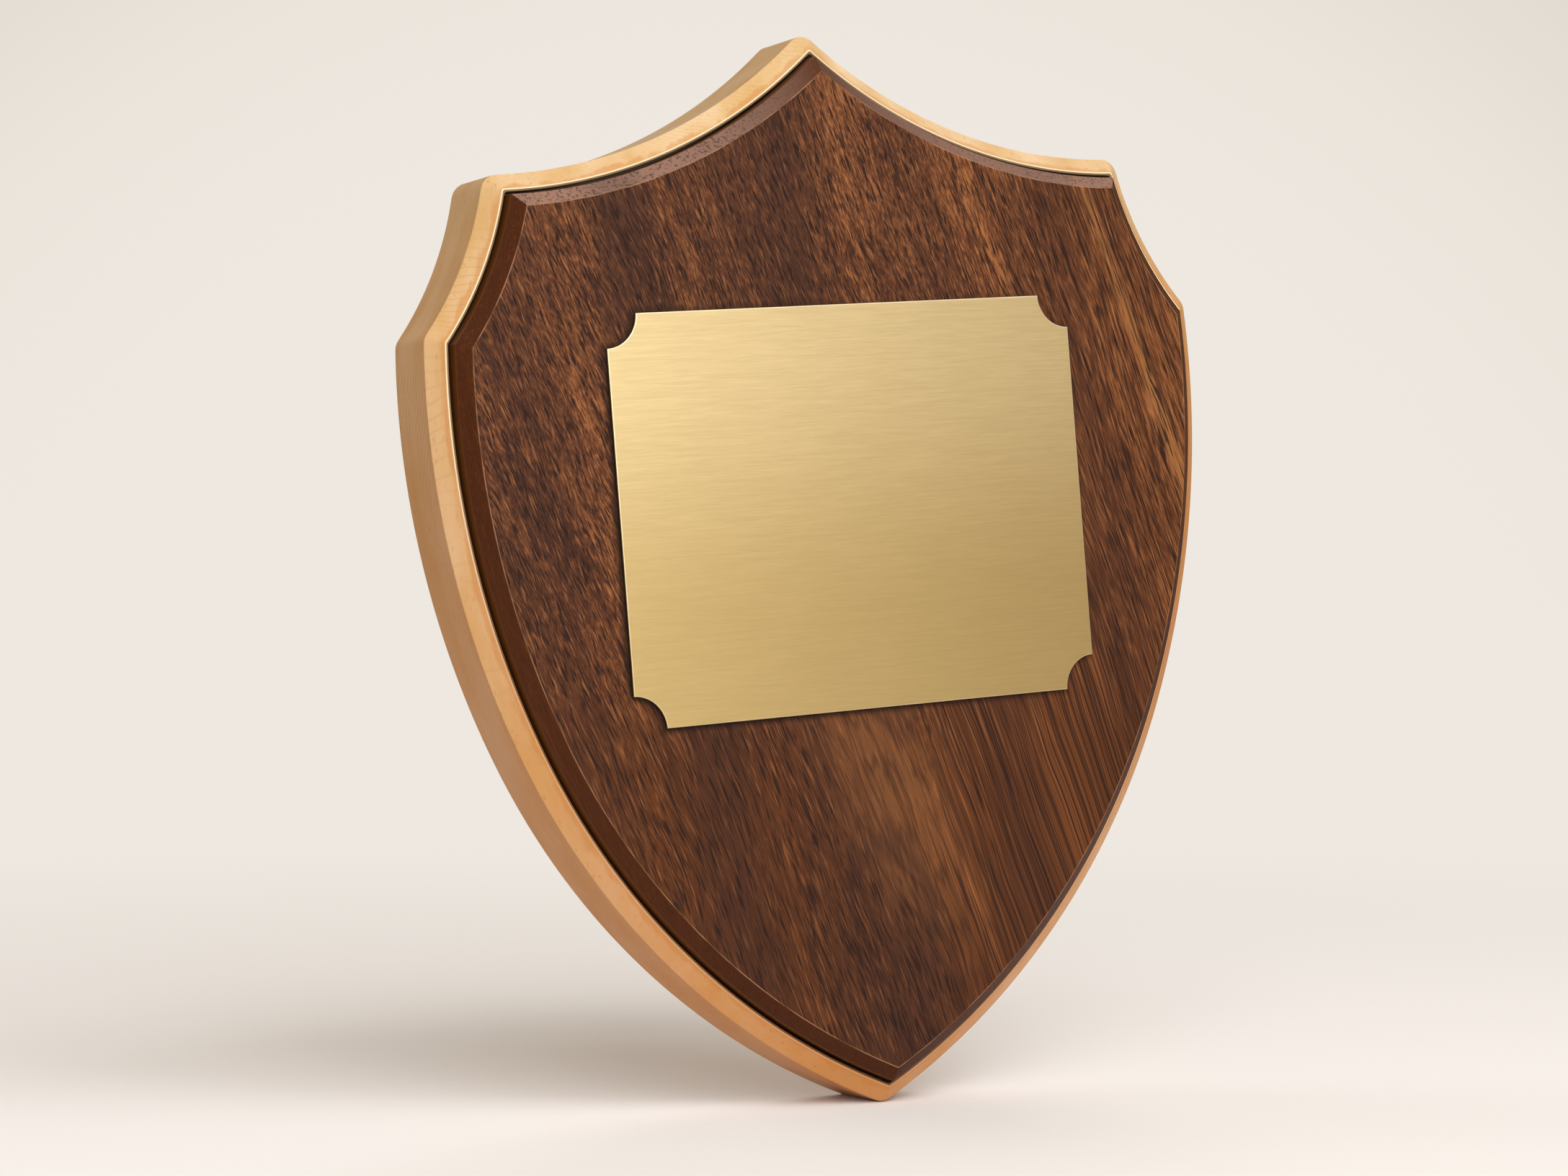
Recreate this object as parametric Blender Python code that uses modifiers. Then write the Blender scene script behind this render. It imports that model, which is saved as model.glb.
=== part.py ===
"""Wooden shield plaque: a maple backboard, a walnut front panel and a blank brass plate.

The plaque hangs upright. Its back lies in the plane y = 0, its front looks along -Y, and the origin is on
the back face, in the middle of the width, just under the keyhole slot that it hangs by.
"""

import math

import bmesh
import bpy
from mathutils import Vector

# Driving dimensions, in metres. Outline points are (half width, height against the top tip).
TIP_HEIGHT = 0.080
HEIGHT = 0.305
HORN = (0.1016, -0.0386)
SHOULDER = (0.1226, -0.0823)
BELLY = (0.1019, -0.2015)
TOP_SCOOP_RADIUS = 0.148
SIDE_SCOOP_RADIUS = 0.0976
UPPER_SIDE_RADIUS = 0.250

BOARD_THICKNESS = 0.025
BOARD_CHAMFER = 0.0045
BOARD_CORNER_RADIUS = 0.0050
LAND = 0.0008
RECESS_DEPTH = 0.0060
RECESS_CORNER_RADIUS = 0.0010
SHADOW_GAP = 0.0009
SEAT_GAP = 0.0003

WALNUT_PROUD = 0.0062
WALNUT_CHAMFER = 0.0036

PLATE_WIDTH = 0.1480
PLATE_HEIGHT = 0.1140
PLATE_THICKNESS = 0.0010
PLATE_CENTRE = -0.1357
PLATE_SCOOP_RADIUS = 0.0094
PLATE_ARRIS = 0.00015

SLOT_ENTRY_HEIGHT = 0.0140
SLOT_RUN = 0.0120
SLOT_ENTRY_WIDTH = 0.0104
SLOT_HEAD_WIDTH = 0.0096
SLOT_NECK_WIDTH = 0.0052
SLOT_LIP = 0.0040
SLOT_HEAD_DEPTH = 0.0100
SLOT_ENTRY_DEPTH = 0.0104

# How finely the arcs are cut, and how far a cutter reaches past the face that it opens
ARC_RUN = 0.0065
CORNER_STEPS = 4
SCOOP_STEPS = 10
SLOT_STEPS = 24
OVERCUT = 0.0020

# What follows from them
WALNUT_INSET = BOARD_CHAMFER + LAND + SHADOW_GAP
WALNUT_THICKNESS = WALNUT_PROUD + RECESS_DEPTH - SEAT_GAP
WALNUT_FACE = -(BOARD_THICKNESS + WALNUT_PROUD)
PLATE_BACK = WALNUT_FACE - SEAT_GAP


def centre_through(start, end, radius, side):
    """Centre of the circle through two points, to the left (1) or right (-1) of the way between them."""
    along = end - start
    rise = math.sqrt(radius ** 2 - (along.length / 2) ** 2)
    return (start + end) / 2 + side * rise * Vector((-along.y, along.x)).normalized()


def crossing(centre_a, radius_a, centre_b, radius_b, near):
    """The crossing of two circles that lies nearer to a point."""
    between = centre_b - centre_a
    distance = between.length
    along = (radius_a ** 2 - radius_b ** 2 + distance ** 2) / (2 * distance)
    across = math.sqrt(radius_a ** 2 - along ** 2)
    foot = centre_a + between * (along / distance)
    step = Vector((-between.y, between.x)) * (across / distance)
    return min((foot + step, foot - step), key=lambda point: (point - near).length)


def arc(centre, start, end, steps):
    """Points of the shorter arc about a centre, with both ends."""
    radius = (start - centre).length
    first = math.atan2(start.y - centre.y, start.x - centre.x)
    last = math.atan2(end.y - centre.y, end.x - centre.x)
    turn = math.remainder(last - first, math.tau)
    angles = (first + turn * step / steps for step in range(steps + 1))
    return [centre + radius * Vector((math.cos(angle), math.sin(angle))) for angle in angles]


def shield_sides():
    """The right half's arcs from the top tip down: centre, radius, and 1 where it bulges or -1 where hollow."""
    tip = Vector((0.0, 0.0))
    horn = Vector(HORN)
    shoulder = Vector(SHOULDER)
    belly = Vector(BELLY)
    point = Vector((0.0, -HEIGHT))
    top_centre = centre_through(tip, horn, TOP_SCOOP_RADIUS, 1)
    side_centre = centre_through(horn, shoulder, SIDE_SCOOP_RADIUS, 1)
    upper_centre = centre_through(shoulder, belly, UPPER_SIDE_RADIUS, -1)
    # The lower arc leaves the belly in the same direction and ends on the bottom tip
    inward = (upper_centre - belly).normalized()
    chord = point - belly
    lower_radius = chord.length_squared / (2 * inward.dot(chord))
    lower_centre = belly + lower_radius * inward
    return [
        (top_centre, TOP_SCOOP_RADIUS, -1),
        (side_centre, SIDE_SCOOP_RADIUS, -1),
        (upper_centre, UPPER_SIDE_RADIUS, 1),
        (lower_centre, lower_radius, 1),
    ]


def on_axis(side, inset, near_height):
    """Where an inset side meets the middle line."""
    centre, radius, bulge = side
    reach = math.sqrt((radius - bulge * inset) ** 2 - centre.x ** 2)
    heights = (centre.y + reach, centre.y - reach)
    return Vector((0.0, min(heights, key=lambda height: abs(height - near_height))))


def corner_of(side_a, side_b, inset, near):
    """Where two inset sides meet."""
    radius_a = side_a[1] - side_a[2] * inset
    radius_b = side_b[1] - side_b[2] * inset
    return crossing(side_a[0], radius_a, side_b[0], radius_b, Vector(near))


def shield_outline(inset, corner_radius):
    """Closed outline of the shield, set in by a distance, with rounded corners where the radius isn't 0."""
    top, hollow, upper, lower = shield_sides()
    deep = inset + corner_radius
    tip = on_axis(top, deep, 0.0)
    horn = corner_of(top, hollow, deep, HORN)
    shoulder = corner_of(hollow, upper, deep, SHOULDER)
    point = on_axis(lower, deep, -HEIGHT)

    def touch(side, corner):
        """The end of an inset side beside a corner's rounding."""
        centre, radius, bulge = side
        return centre + (corner - centre).normalized() * (radius - bulge * inset)

    def along(side, start, end):
        """An inset side from one end to the other."""
        steps = max(2, round((end - start).length / ARC_RUN))
        return arc(side[0], start, end, steps)

    def rounding(corner, start, end):
        """A corner's own arc, or the bare corner."""
        if corner_radius == 0.0:
            return [corner]
        return arc(corner, start, end, CORNER_STEPS)

    upward = Vector((0.0, corner_radius))
    right = rounding(tip, tip + upward, touch(top, tip))
    right += along(top, touch(top, tip), touch(top, horn))
    right += rounding(horn, touch(top, horn), touch(hollow, horn))
    right += along(hollow, touch(hollow, horn), touch(hollow, shoulder))
    right += rounding(shoulder, touch(hollow, shoulder), touch(upper, shoulder))
    belly = touch(upper, Vector(BELLY))
    right += along(upper, touch(upper, shoulder), belly)
    right += along(lower, belly, touch(lower, point))
    right += rounding(point, touch(lower, point), point - upward)
    left = [Vector((-spot.x, spot.y)) for spot in reversed(right)]
    return right + left


def plate_outline():
    """Closed outline of the plate, about its own centre, with a quarter circle scooped from each corner."""
    half_width = PLATE_WIDTH / 2
    half_height = PLATE_HEIGHT / 2
    points = []
    for across, up in ((1, 1), (1, -1), (-1, -1), (-1, 1)):
        corner = Vector((across * half_width, up * half_height))
        on_edge = corner - Vector((across * PLATE_SCOOP_RADIUS, 0.0))
        on_side = corner - Vector((0.0, up * PLATE_SCOOP_RADIUS))
        ends = (on_edge, on_side) if across == up else (on_side, on_edge)
        points += arc(corner, *ends, SCOOP_STEPS)
    return points


def slot_outline(width, run):
    """Closed outline of a slot with round ends, from the centre of its lower end."""
    radius = width / 2
    points = []
    for step in range(SLOT_STEPS + 1):
        angle = math.pi * step / SLOT_STEPS
        points.append(Vector((radius * math.cos(angle), run + radius * math.sin(angle))))
    points += [Vector((-spot.x, run - spot.y)) for spot in points]
    return points


def without_repeats(points):
    """The closed outline without points that fall on the one before."""
    kept = []
    for number, spot in enumerate(points):
        if (spot - points[number - 1]).length > 1e-6:
            kept.append(spot)
    return kept


def collection_named(name):
    """A new collection in the scene."""
    collection = bpy.data.collections.new(name)
    bpy.context.scene.collection.children.link(collection)
    return collection


def material_named(name, colour, roughness, metallic):
    """A plain finish."""
    material = bpy.data.materials.new(name)
    material.use_nodes = True
    shader = material.node_tree.nodes["Principled BSDF"]
    shader.inputs["Base Color"].default_value = (*colour, 1.0)
    shader.inputs["Roughness"].default_value = roughness
    shader.inputs["Metallic"].default_value = metallic
    return material


def slab(name, outline, front, back, height, collection):
    """A flat piece of an outline's shape, upright, between two depths, with the outline's zero at a height."""
    points = without_repeats(outline)
    curve = bpy.data.curves.new(name, "CURVE")
    curve.dimensions = "2D"
    curve.fill_mode = "BOTH"
    curve.extrude = (back - front) / 2
    spline = curve.splines.new("POLY")
    spline.points.add(len(points) - 1)
    for place, spot in zip(spline.points, points):
        place.co = (spot.x, spot.y, 0.0, 1.0)
    spline.use_cyclic_u = True
    drawn = bpy.data.objects.new(name + " outline", curve)
    drawn.location = (0.0, (front + back) / 2, height)
    drawn.rotation_euler = (math.pi / 2, 0.0, 0.0)
    collection.objects.link(drawn)
    bpy.context.view_layer.update()

    evaluated = drawn.evaluated_get(bpy.context.evaluated_depsgraph_get())
    mesh = bpy.data.meshes.new_from_object(evaluated)
    mesh.name = name
    work = bmesh.new()
    work.from_mesh(mesh)
    bmesh.ops.remove_doubles(work, verts=work.verts, dist=1e-6)
    bmesh.ops.dissolve_limit(work, angle_limit=math.radians(0.1), verts=work.verts, edges=work.edges)
    bmesh.ops.recalc_face_normals(work, faces=work.faces)
    work.to_mesh(mesh)
    work.free()
    piece = bpy.data.objects.new(name, mesh)
    piece.matrix_world = drawn.matrix_world
    collection.objects.link(piece)
    bpy.data.objects.remove(drawn)
    bpy.data.curves.remove(curve)
    return piece


def chamfer_front(piece, width):
    """A flat 45 degree chamfer round the front face, which is at the slab's own +Z."""
    mesh = piece.data
    front = max(vertex.co.z for vertex in mesh.vertices)
    weights = mesh.attributes.new("bevel_weight_edge", "FLOAT", "EDGE")
    for edge in mesh.edges:
        heights = [mesh.vertices[end].co.z for end in edge.vertices]
        on_front = min(heights) > front - 1e-6
        weights.data[edge.index].value = 1.0 if on_front else 0.0
    chamfer = piece.modifiers.new("chamfer", "BEVEL")
    chamfer.limit_method = "WEIGHT"
    chamfer.width = width
    chamfer.segments = 1
    chamfer.use_clamp_overlap = False


def cut_from(piece, cutter, cutters):
    """A Boolean cut, with its cutter kept as a hidden guide."""
    for collection in cutter.users_collection:
        collection.objects.unlink(cutter)
    cutters.objects.link(cutter)
    cutter.hide_render = True
    cutter.display_type = "WIRE"
    cut = piece.modifiers.new(cutter.name, "BOOLEAN")
    cut.operation = "DIFFERENCE"
    cut.solver = "EXACT"
    cut.object = cutter


def make_backboard(parts, cutters, maple):
    """The board: chamfered at the front, recessed for the walnut, with a keyhole slot in its back."""
    board = slab("maple_backboard", shield_outline(0.0, BOARD_CORNER_RADIUS), -BOARD_THICKNESS, 0.0,
                 TIP_HEIGHT, parts)
    board.data.materials.append(maple)
    chamfer_front(board, BOARD_CHAMFER)

    recess_inset = BOARD_CHAMFER + LAND
    recess = slab("recess", shield_outline(recess_inset, RECESS_CORNER_RADIUS),
                  -(BOARD_THICKNESS + OVERCUT), -(BOARD_THICKNESS - RECESS_DEPTH), TIP_HEIGHT, cutters)
    cut_from(board, recess, cutters)

    bpy.ops.mesh.primitive_cylinder_add(
        vertices=2 * SLOT_STEPS,
        radius=SLOT_ENTRY_WIDTH / 2,
        depth=SLOT_ENTRY_DEPTH + OVERCUT,
        location=(0.0, (OVERCUT - SLOT_ENTRY_DEPTH) / 2, SLOT_ENTRY_HEIGHT),
        rotation=(math.pi / 2, 0.0, 0.0),
    )
    entry = bpy.context.object
    entry.name = "slot entry"
    cut_from(board, entry, cutters)

    head_way = slab("slot head way", slot_outline(SLOT_HEAD_WIDTH, SLOT_RUN),
                    -SLOT_HEAD_DEPTH, -SLOT_LIP, SLOT_ENTRY_HEIGHT, cutters)
    cut_from(board, head_way, cutters)
    neck = slab("slot neck", slot_outline(SLOT_NECK_WIDTH, SLOT_RUN),
                -(SLOT_LIP + OVERCUT), OVERCUT, SLOT_ENTRY_HEIGHT, cutters)
    cut_from(board, neck, cutters)
    return board


def make_panel(parts, walnut):
    """The walnut: the shield again, set in, chamfered at the front."""
    panel = slab("walnut_panel", shield_outline(WALNUT_INSET, 0.0), WALNUT_FACE,
                 WALNUT_FACE + WALNUT_THICKNESS, TIP_HEIGHT, parts)
    panel.data.materials.append(walnut)
    chamfer_front(panel, WALNUT_CHAMFER)
    return panel


def make_plate(parts, brass):
    """The plate, with its front arris just broken."""
    plate = slab("brass_plate", plate_outline(), PLATE_BACK - PLATE_THICKNESS, PLATE_BACK,
                 TIP_HEIGHT + PLATE_CENTRE, parts)
    plate.data.materials.append(brass)
    chamfer_front(plate, PLATE_ARRIS)
    return plate


def main():
    """Clears the scene and builds the plaque."""
    for thing in list(bpy.data.objects):
        bpy.data.objects.remove(thing)
    parts = collection_named("wooden shield plaque")
    cutters = collection_named("cutters")
    maple = material_named("maple", (0.60, 0.36, 0.16), 0.42, 0.0)
    walnut = material_named("walnut", (0.135, 0.052, 0.026), 0.48, 0.0)
    brass = material_named("brass", (0.66, 0.50, 0.24), 0.32, 1.0)
    make_backboard(parts, cutters, maple)
    make_panel(parts, walnut)
    make_plate(parts, brass)


main()
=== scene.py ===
"""Looks of a wooden shield plaque: a maple backboard, a raised walnut field and a blank brass plate.

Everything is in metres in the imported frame: +X to the right, -Y out of the front, +Z up, and the origin
on the flat back of the board. One Geometry Nodes tree, a mitred moulding, runs a profile round each of
the three outlines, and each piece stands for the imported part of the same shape.
"""

from __future__ import annotations

import logging
import math
from dataclasses import dataclass, field
from enum import Enum
from typing import Any

import bmesh
import bpy
from mathutils import Matrix, Vector

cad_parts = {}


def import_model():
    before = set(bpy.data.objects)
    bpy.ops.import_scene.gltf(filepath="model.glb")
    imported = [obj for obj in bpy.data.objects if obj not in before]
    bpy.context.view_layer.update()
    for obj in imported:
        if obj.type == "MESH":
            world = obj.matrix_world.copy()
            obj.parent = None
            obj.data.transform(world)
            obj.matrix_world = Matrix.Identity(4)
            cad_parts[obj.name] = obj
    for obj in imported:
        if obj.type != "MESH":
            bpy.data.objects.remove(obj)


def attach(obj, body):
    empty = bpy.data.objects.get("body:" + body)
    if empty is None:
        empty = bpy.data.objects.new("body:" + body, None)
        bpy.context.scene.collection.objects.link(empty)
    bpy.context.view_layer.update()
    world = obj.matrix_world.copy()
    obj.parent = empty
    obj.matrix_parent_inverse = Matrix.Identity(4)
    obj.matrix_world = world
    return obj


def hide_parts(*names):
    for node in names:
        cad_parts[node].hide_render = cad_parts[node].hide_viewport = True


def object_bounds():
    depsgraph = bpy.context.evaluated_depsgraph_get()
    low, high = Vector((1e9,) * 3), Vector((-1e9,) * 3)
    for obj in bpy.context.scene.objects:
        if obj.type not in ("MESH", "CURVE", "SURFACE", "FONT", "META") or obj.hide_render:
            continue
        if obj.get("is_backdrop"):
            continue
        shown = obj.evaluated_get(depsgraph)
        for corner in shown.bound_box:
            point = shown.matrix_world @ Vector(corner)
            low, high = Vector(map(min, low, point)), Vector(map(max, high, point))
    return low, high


LOG = logging.getLogger("shield plaque")
BODY = "root"
MM = 0.001
MITRE = "mitre"
LAND_MITRE = "land mitre"
INSET = "inset"
FLAT = (1.0, 0.0, 1.0)

Tree = bpy.types.NodeTree
Socket = bpy.types.NodeSocket

# The start and end of a range of some value, then what comes out at both, or 0 and 1 if that is all
Span = tuple[float, ...]
# How much of a plain colour shows, from 0 to 1, and the colour as #RRGGBB
Coat = tuple[Socket, str]

# The room lights the object less than it shows to the lens
ROOM_POWER: Span = (0.0, 1.0, 0.37, 1.0)


def linear(code: str) -> tuple[float, float, float, float]:
    """Turns an sRGB hex colour into linear light.

    Args:
        code: The colour as #RRGGBB.

    Returns:
        Red, green and blue in linear light, and an alpha of 1.
    """
    channels = []
    for start in (1, 3, 5):
        value = int(code[start:start + 2], 16) / 255
        dark = value <= 0.04045
        channels.append(value / 12.92 if dark else ((value + 0.055) / 1.055) ** 2.4)
    return (*channels, 1.0)


def add_node(
    tree: Tree,
    kind: str,
    inputs: list[Any] | dict[int | str, Any] | None = None,
    out: int = 0,
    **settings: Any,
) -> Socket:
    """Adds one node with its settings and links.

    Args:
        tree: The tree that takes the node.
        kind: The node's type.
        inputs: What each input gets, another node's output or a plain value, in a row from the first
            input on, or by number or identifier.
        out: The number of the output that is wanted.
        settings: The node's own settings.

    Returns:
        That output. The node itself is its .node.
    """
    node = tree.nodes.new(kind)
    for name, value in settings.items():
        setattr(node, name, value)
    by_identifier = {socket.identifier: socket for socket in node.inputs}
    given = inputs if isinstance(inputs, dict) else dict(enumerate(inputs or []))
    for key, value in given.items():
        socket = node.inputs[key] if isinstance(key, int) else by_identifier[key]
        if isinstance(value, Socket):
            tree.links.new(value, socket)
        else:
            socket.default_value = value
    return node.outputs[out]


def plain(piece: bpy.types.Object) -> None:
    """Turns a piece and its modifiers into a plain mesh.

    Args:
        piece: The object, whose modifiers are gone afterwards.
    """
    bpy.context.view_layer.update()
    graph = bpy.context.evaluated_depsgraph_get()
    mesh = bpy.data.meshes.new_from_object(piece.evaluated_get(graph), depsgraph=graph)
    mesh.name = piece.name
    old = piece.data
    piece.modifiers.clear()
    piece.data = mesh
    bpy.data.meshes.remove(old)


@dataclass(frozen=True)
class Side:
    """One round side of an outline: its centre, its radius, and 1 where it bulges or -1 where hollow."""

    centre: Vector
    radius: float
    bulge: int

    def set_in(self, inset: float) -> float:
        """The side's radius once it is moved in by a distance."""
        return self.radius - self.bulge * inset


def centre_through(start: Vector, end: Vector, radius: float, hand: int) -> Vector:
    """Finds the centre of the circle through two points.

    Args:
        start: The first point.
        end: The second point.
        radius: The circle's radius.
        hand: 1 for a centre to the left of the way between the points, -1 for one to the right.

    Returns:
        The centre.
    """
    way = end - start
    rise = math.sqrt(radius ** 2 - (way.length / 2) ** 2)
    return (start + end) / 2 + hand * rise * Vector((-way.y, way.x)).normalized()


def crossing(first: Side, second: Side, inset: float, near: tuple[float, float]) -> Vector:
    """Finds where two sides meet once both are moved in.

    Args:
        first: One side.
        second: The other.
        inset: How far both are moved in.
        near: A point beside the crossing that is wanted.

    Returns:
        The crossing.
    """
    between = second.centre - first.centre
    distance = between.length
    reach = first.set_in(inset)
    along = (reach ** 2 - second.set_in(inset) ** 2 + distance ** 2) / (2 * distance)
    across = math.sqrt(reach ** 2 - along ** 2)
    foot = first.centre + between * (along / distance)
    step = Vector((-between.y, between.x)) * (across / distance)
    return min((foot + step, foot - step), key=lambda spot: (spot - Vector(near)).length)


def arc(centre: Vector, start: Vector, end: Vector, steps: int) -> list[Vector]:
    """Divides the shorter arc between two points.

    Args:
        centre: The arc's centre.
        start: Its first point.
        end: Its last point.
        steps: How many equal parts it gets.

    Returns:
        The points, with both ends.
    """
    radius = (start - centre).length
    first = math.atan2(start.y - centre.y, start.x - centre.x)
    last = math.atan2(end.y - centre.y, end.x - centre.x)
    turn = math.remainder(last - first, math.tau)
    angles = (first + turn * step / steps for step in range(steps + 1))
    return [centre + radius * Vector((math.cos(angle), math.sin(angle))) for angle in angles]


@dataclass
class ShieldOutline:
    """The shield from the front: a hollow top, a hollow shoulder and a two-arc side, mirrored.

    Points are (half width, height against the top tip). Each inset gives the same number of points, so
    the points of two insets pair up.
    """

    height: float = 0.305
    horn: tuple[float, float] = (0.1016, -0.0386)
    shoulder: tuple[float, float] = (0.1226, -0.0823)
    belly: tuple[float, float] = (0.1019, -0.2015)
    top_radius: float = 0.148
    hollow_radius: float = 0.0976
    upper_radius: float = 0.250
    steps: tuple[int, int, int, int] = (36, 16, 36, 44)
    corner_steps: int = 4
    sides: tuple[Side, Side, Side, Side] = field(init=False)

    def __post_init__(self) -> None:
        """Works out the four arcs of the right half."""
        horn = Vector(self.horn)
        shoulder = Vector(self.shoulder)
        belly = Vector(self.belly)
        top = centre_through(Vector((0.0, 0.0)), horn, self.top_radius, 1)
        hollow = centre_through(horn, shoulder, self.hollow_radius, 1)
        upper = centre_through(shoulder, belly, self.upper_radius, -1)
        # The lower arc leaves the belly in the same direction and ends on the bottom tip
        inward = (upper - belly).normalized()
        chord = Vector((0.0, -self.height)) - belly
        lower_radius = chord.length_squared / (2 * inward.dot(chord))
        self.sides = (
            Side(top, self.top_radius, -1),
            Side(hollow, self.hollow_radius, -1),
            Side(upper, self.upper_radius, 1),
            Side(belly + lower_radius * inward, lower_radius, 1),
        )

    def _on_axis(self, side: Side, inset: float, near: float) -> Vector:
        """Finds where a side moved in meets the middle line.

        Args:
            side: The side.
            inset: How far it is moved in.
            near: A height beside the crossing that is wanted.

        Returns:
            The crossing.
        """
        reach = math.sqrt(side.set_in(inset) ** 2 - side.centre.x ** 2)
        heights = (side.centre.y + reach, side.centre.y - reach)
        return Vector((0.0, min(heights, key=lambda height: abs(height - near))))

    def points(self, inset: float, corner_radius: float) -> list[Vector]:
        """Draws the closed outline, set in by a distance.

        Args:
            inset: The distance.
            corner_radius: The rounding of its corners, or 0 for sharp ones.

        Returns:
            The points, clockwise from the top tip.
        """
        top, hollow, upper, lower = self.sides
        deep = inset + corner_radius
        tip = self._on_axis(top, deep, 0.0)
        horn = crossing(top, hollow, deep, self.horn)
        shoulder = crossing(hollow, upper, deep, self.shoulder)
        point = self._on_axis(lower, deep, -self.height)

        def touch(side: Side, corner: Vector) -> Vector:
            """The end of a side beside a corner's rounding."""
            return side.centre + (corner - side.centre).normalized() * side.set_in(inset)

        def rounding(corner: Vector, start: Vector, end: Vector) -> list[Vector]:
            """A corner's own arc, or the bare corner."""
            return arc(corner, start, end, self.corner_steps) if corner_radius else [corner]

        upward = Vector((0.0, corner_radius))
        belly = touch(upper, Vector(self.belly))
        ends = (
            (touch(top, tip), touch(top, horn)),
            (touch(hollow, horn), touch(hollow, shoulder)),
            (touch(upper, shoulder), belly),
            (belly, touch(lower, point)),
        )
        middles = [
            arc(side.centre, start, end, steps)[1:-1]
            for side, (start, end), steps in zip(self.sides, ends, self.steps)
        ]
        right = rounding(tip, tip + upward, ends[0][0]) + middles[0]
        right += rounding(horn, ends[0][1], ends[1][0]) + middles[1]
        right += rounding(shoulder, ends[1][1], ends[2][0]) + middles[2]
        right += [belly] + middles[3] + rounding(point, ends[3][1], point - upward)
        left = [Vector((-spot.x, spot.y)) for spot in reversed(right[1:-1])]
        return right + left


@dataclass
class TabletOutline:
    """A rectangle with a quarter circle scooped from each corner, about its own centre."""

    width: float = 0.148
    height: float = 0.114
    scoop_radius: float = 0.0094
    scoop_steps: int = 14

    def points(self, inset: float) -> list[Vector]:
        """Draws the closed outline, set in by a distance.

        Args:
            inset: The distance.

        Returns:
            The points, clockwise from the top right scoop.
        """
        reach = math.sqrt((self.scoop_radius + inset) ** 2 - inset ** 2)
        outline: list[Vector] = []
        for across, up in ((1, 1), (1, -1), (-1, -1), (-1, 1)):
            corner = Vector((across * self.width / 2, up * self.height / 2))
            on_edge = corner - Vector((across * reach, up * inset))
            on_side = corner - Vector((across * inset, up * reach))
            ends = (on_edge, on_side) if across == up else (on_side, on_edge)
            outline += arc(corner, *ends, self.scoop_steps)
        return outline


def outline_mesh(
    name: str,
    outer: list[Vector],
    inner: list[Vector],
    chamfer: float,
    innermost: list[Vector] | None = None,
    land: float = 1.0,
) -> bpy.types.Mesh:
    """Makes a closed outline that carries its own mitres.

    Args:
        name: The mesh's name.
        outer: The outline.
        inner: The same outline set in by the chamfer.
        chamfer: The chamfer's width.
        innermost: The same outline set in by the chamfer and the land, where it has one.
        land: The land's width.

    Returns:
        A mesh of edges. Each point's mitres say how it moves for each metre of inset.
    """
    mesh = bpy.data.meshes.new(name)
    count = len(outer)
    edges = [(number, (number + 1) % count) for number in range(count)]
    mesh.from_pydata([(spot.x, spot.y, 0.0) for spot in outer], edges, [])
    across_chamfer = [(far - near) / chamfer for near, far in zip(outer, inner)]
    across_land = across_chamfer
    if innermost:
        across_land = [(far - near) / land for near, far in zip(inner, innermost)]
    for label, moves in ((MITRE, across_chamfer), (LAND_MITRE, across_land)):
        values = mesh.attributes.new(label, "FLOAT_VECTOR", "POINT")
        for number, move in enumerate(moves):
            values.data[number].vector = (move.x, move.y, 0.0)
    return mesh


@dataclass(frozen=True)
class Profile:
    """A moulding's section, in metres, with heights above the wall.

    It goes up the wall of the piece from its back, over the chamfer, across the land and, on a recessed
    piece, down to the floor of the recess.
    """

    back: float
    front: float
    chamfer: float
    land: float
    back_arris: float
    wall_arris: float
    face_arris: float
    land_arris: float = 0.0
    recess: float = 0.0
    steps: int = 3


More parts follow.
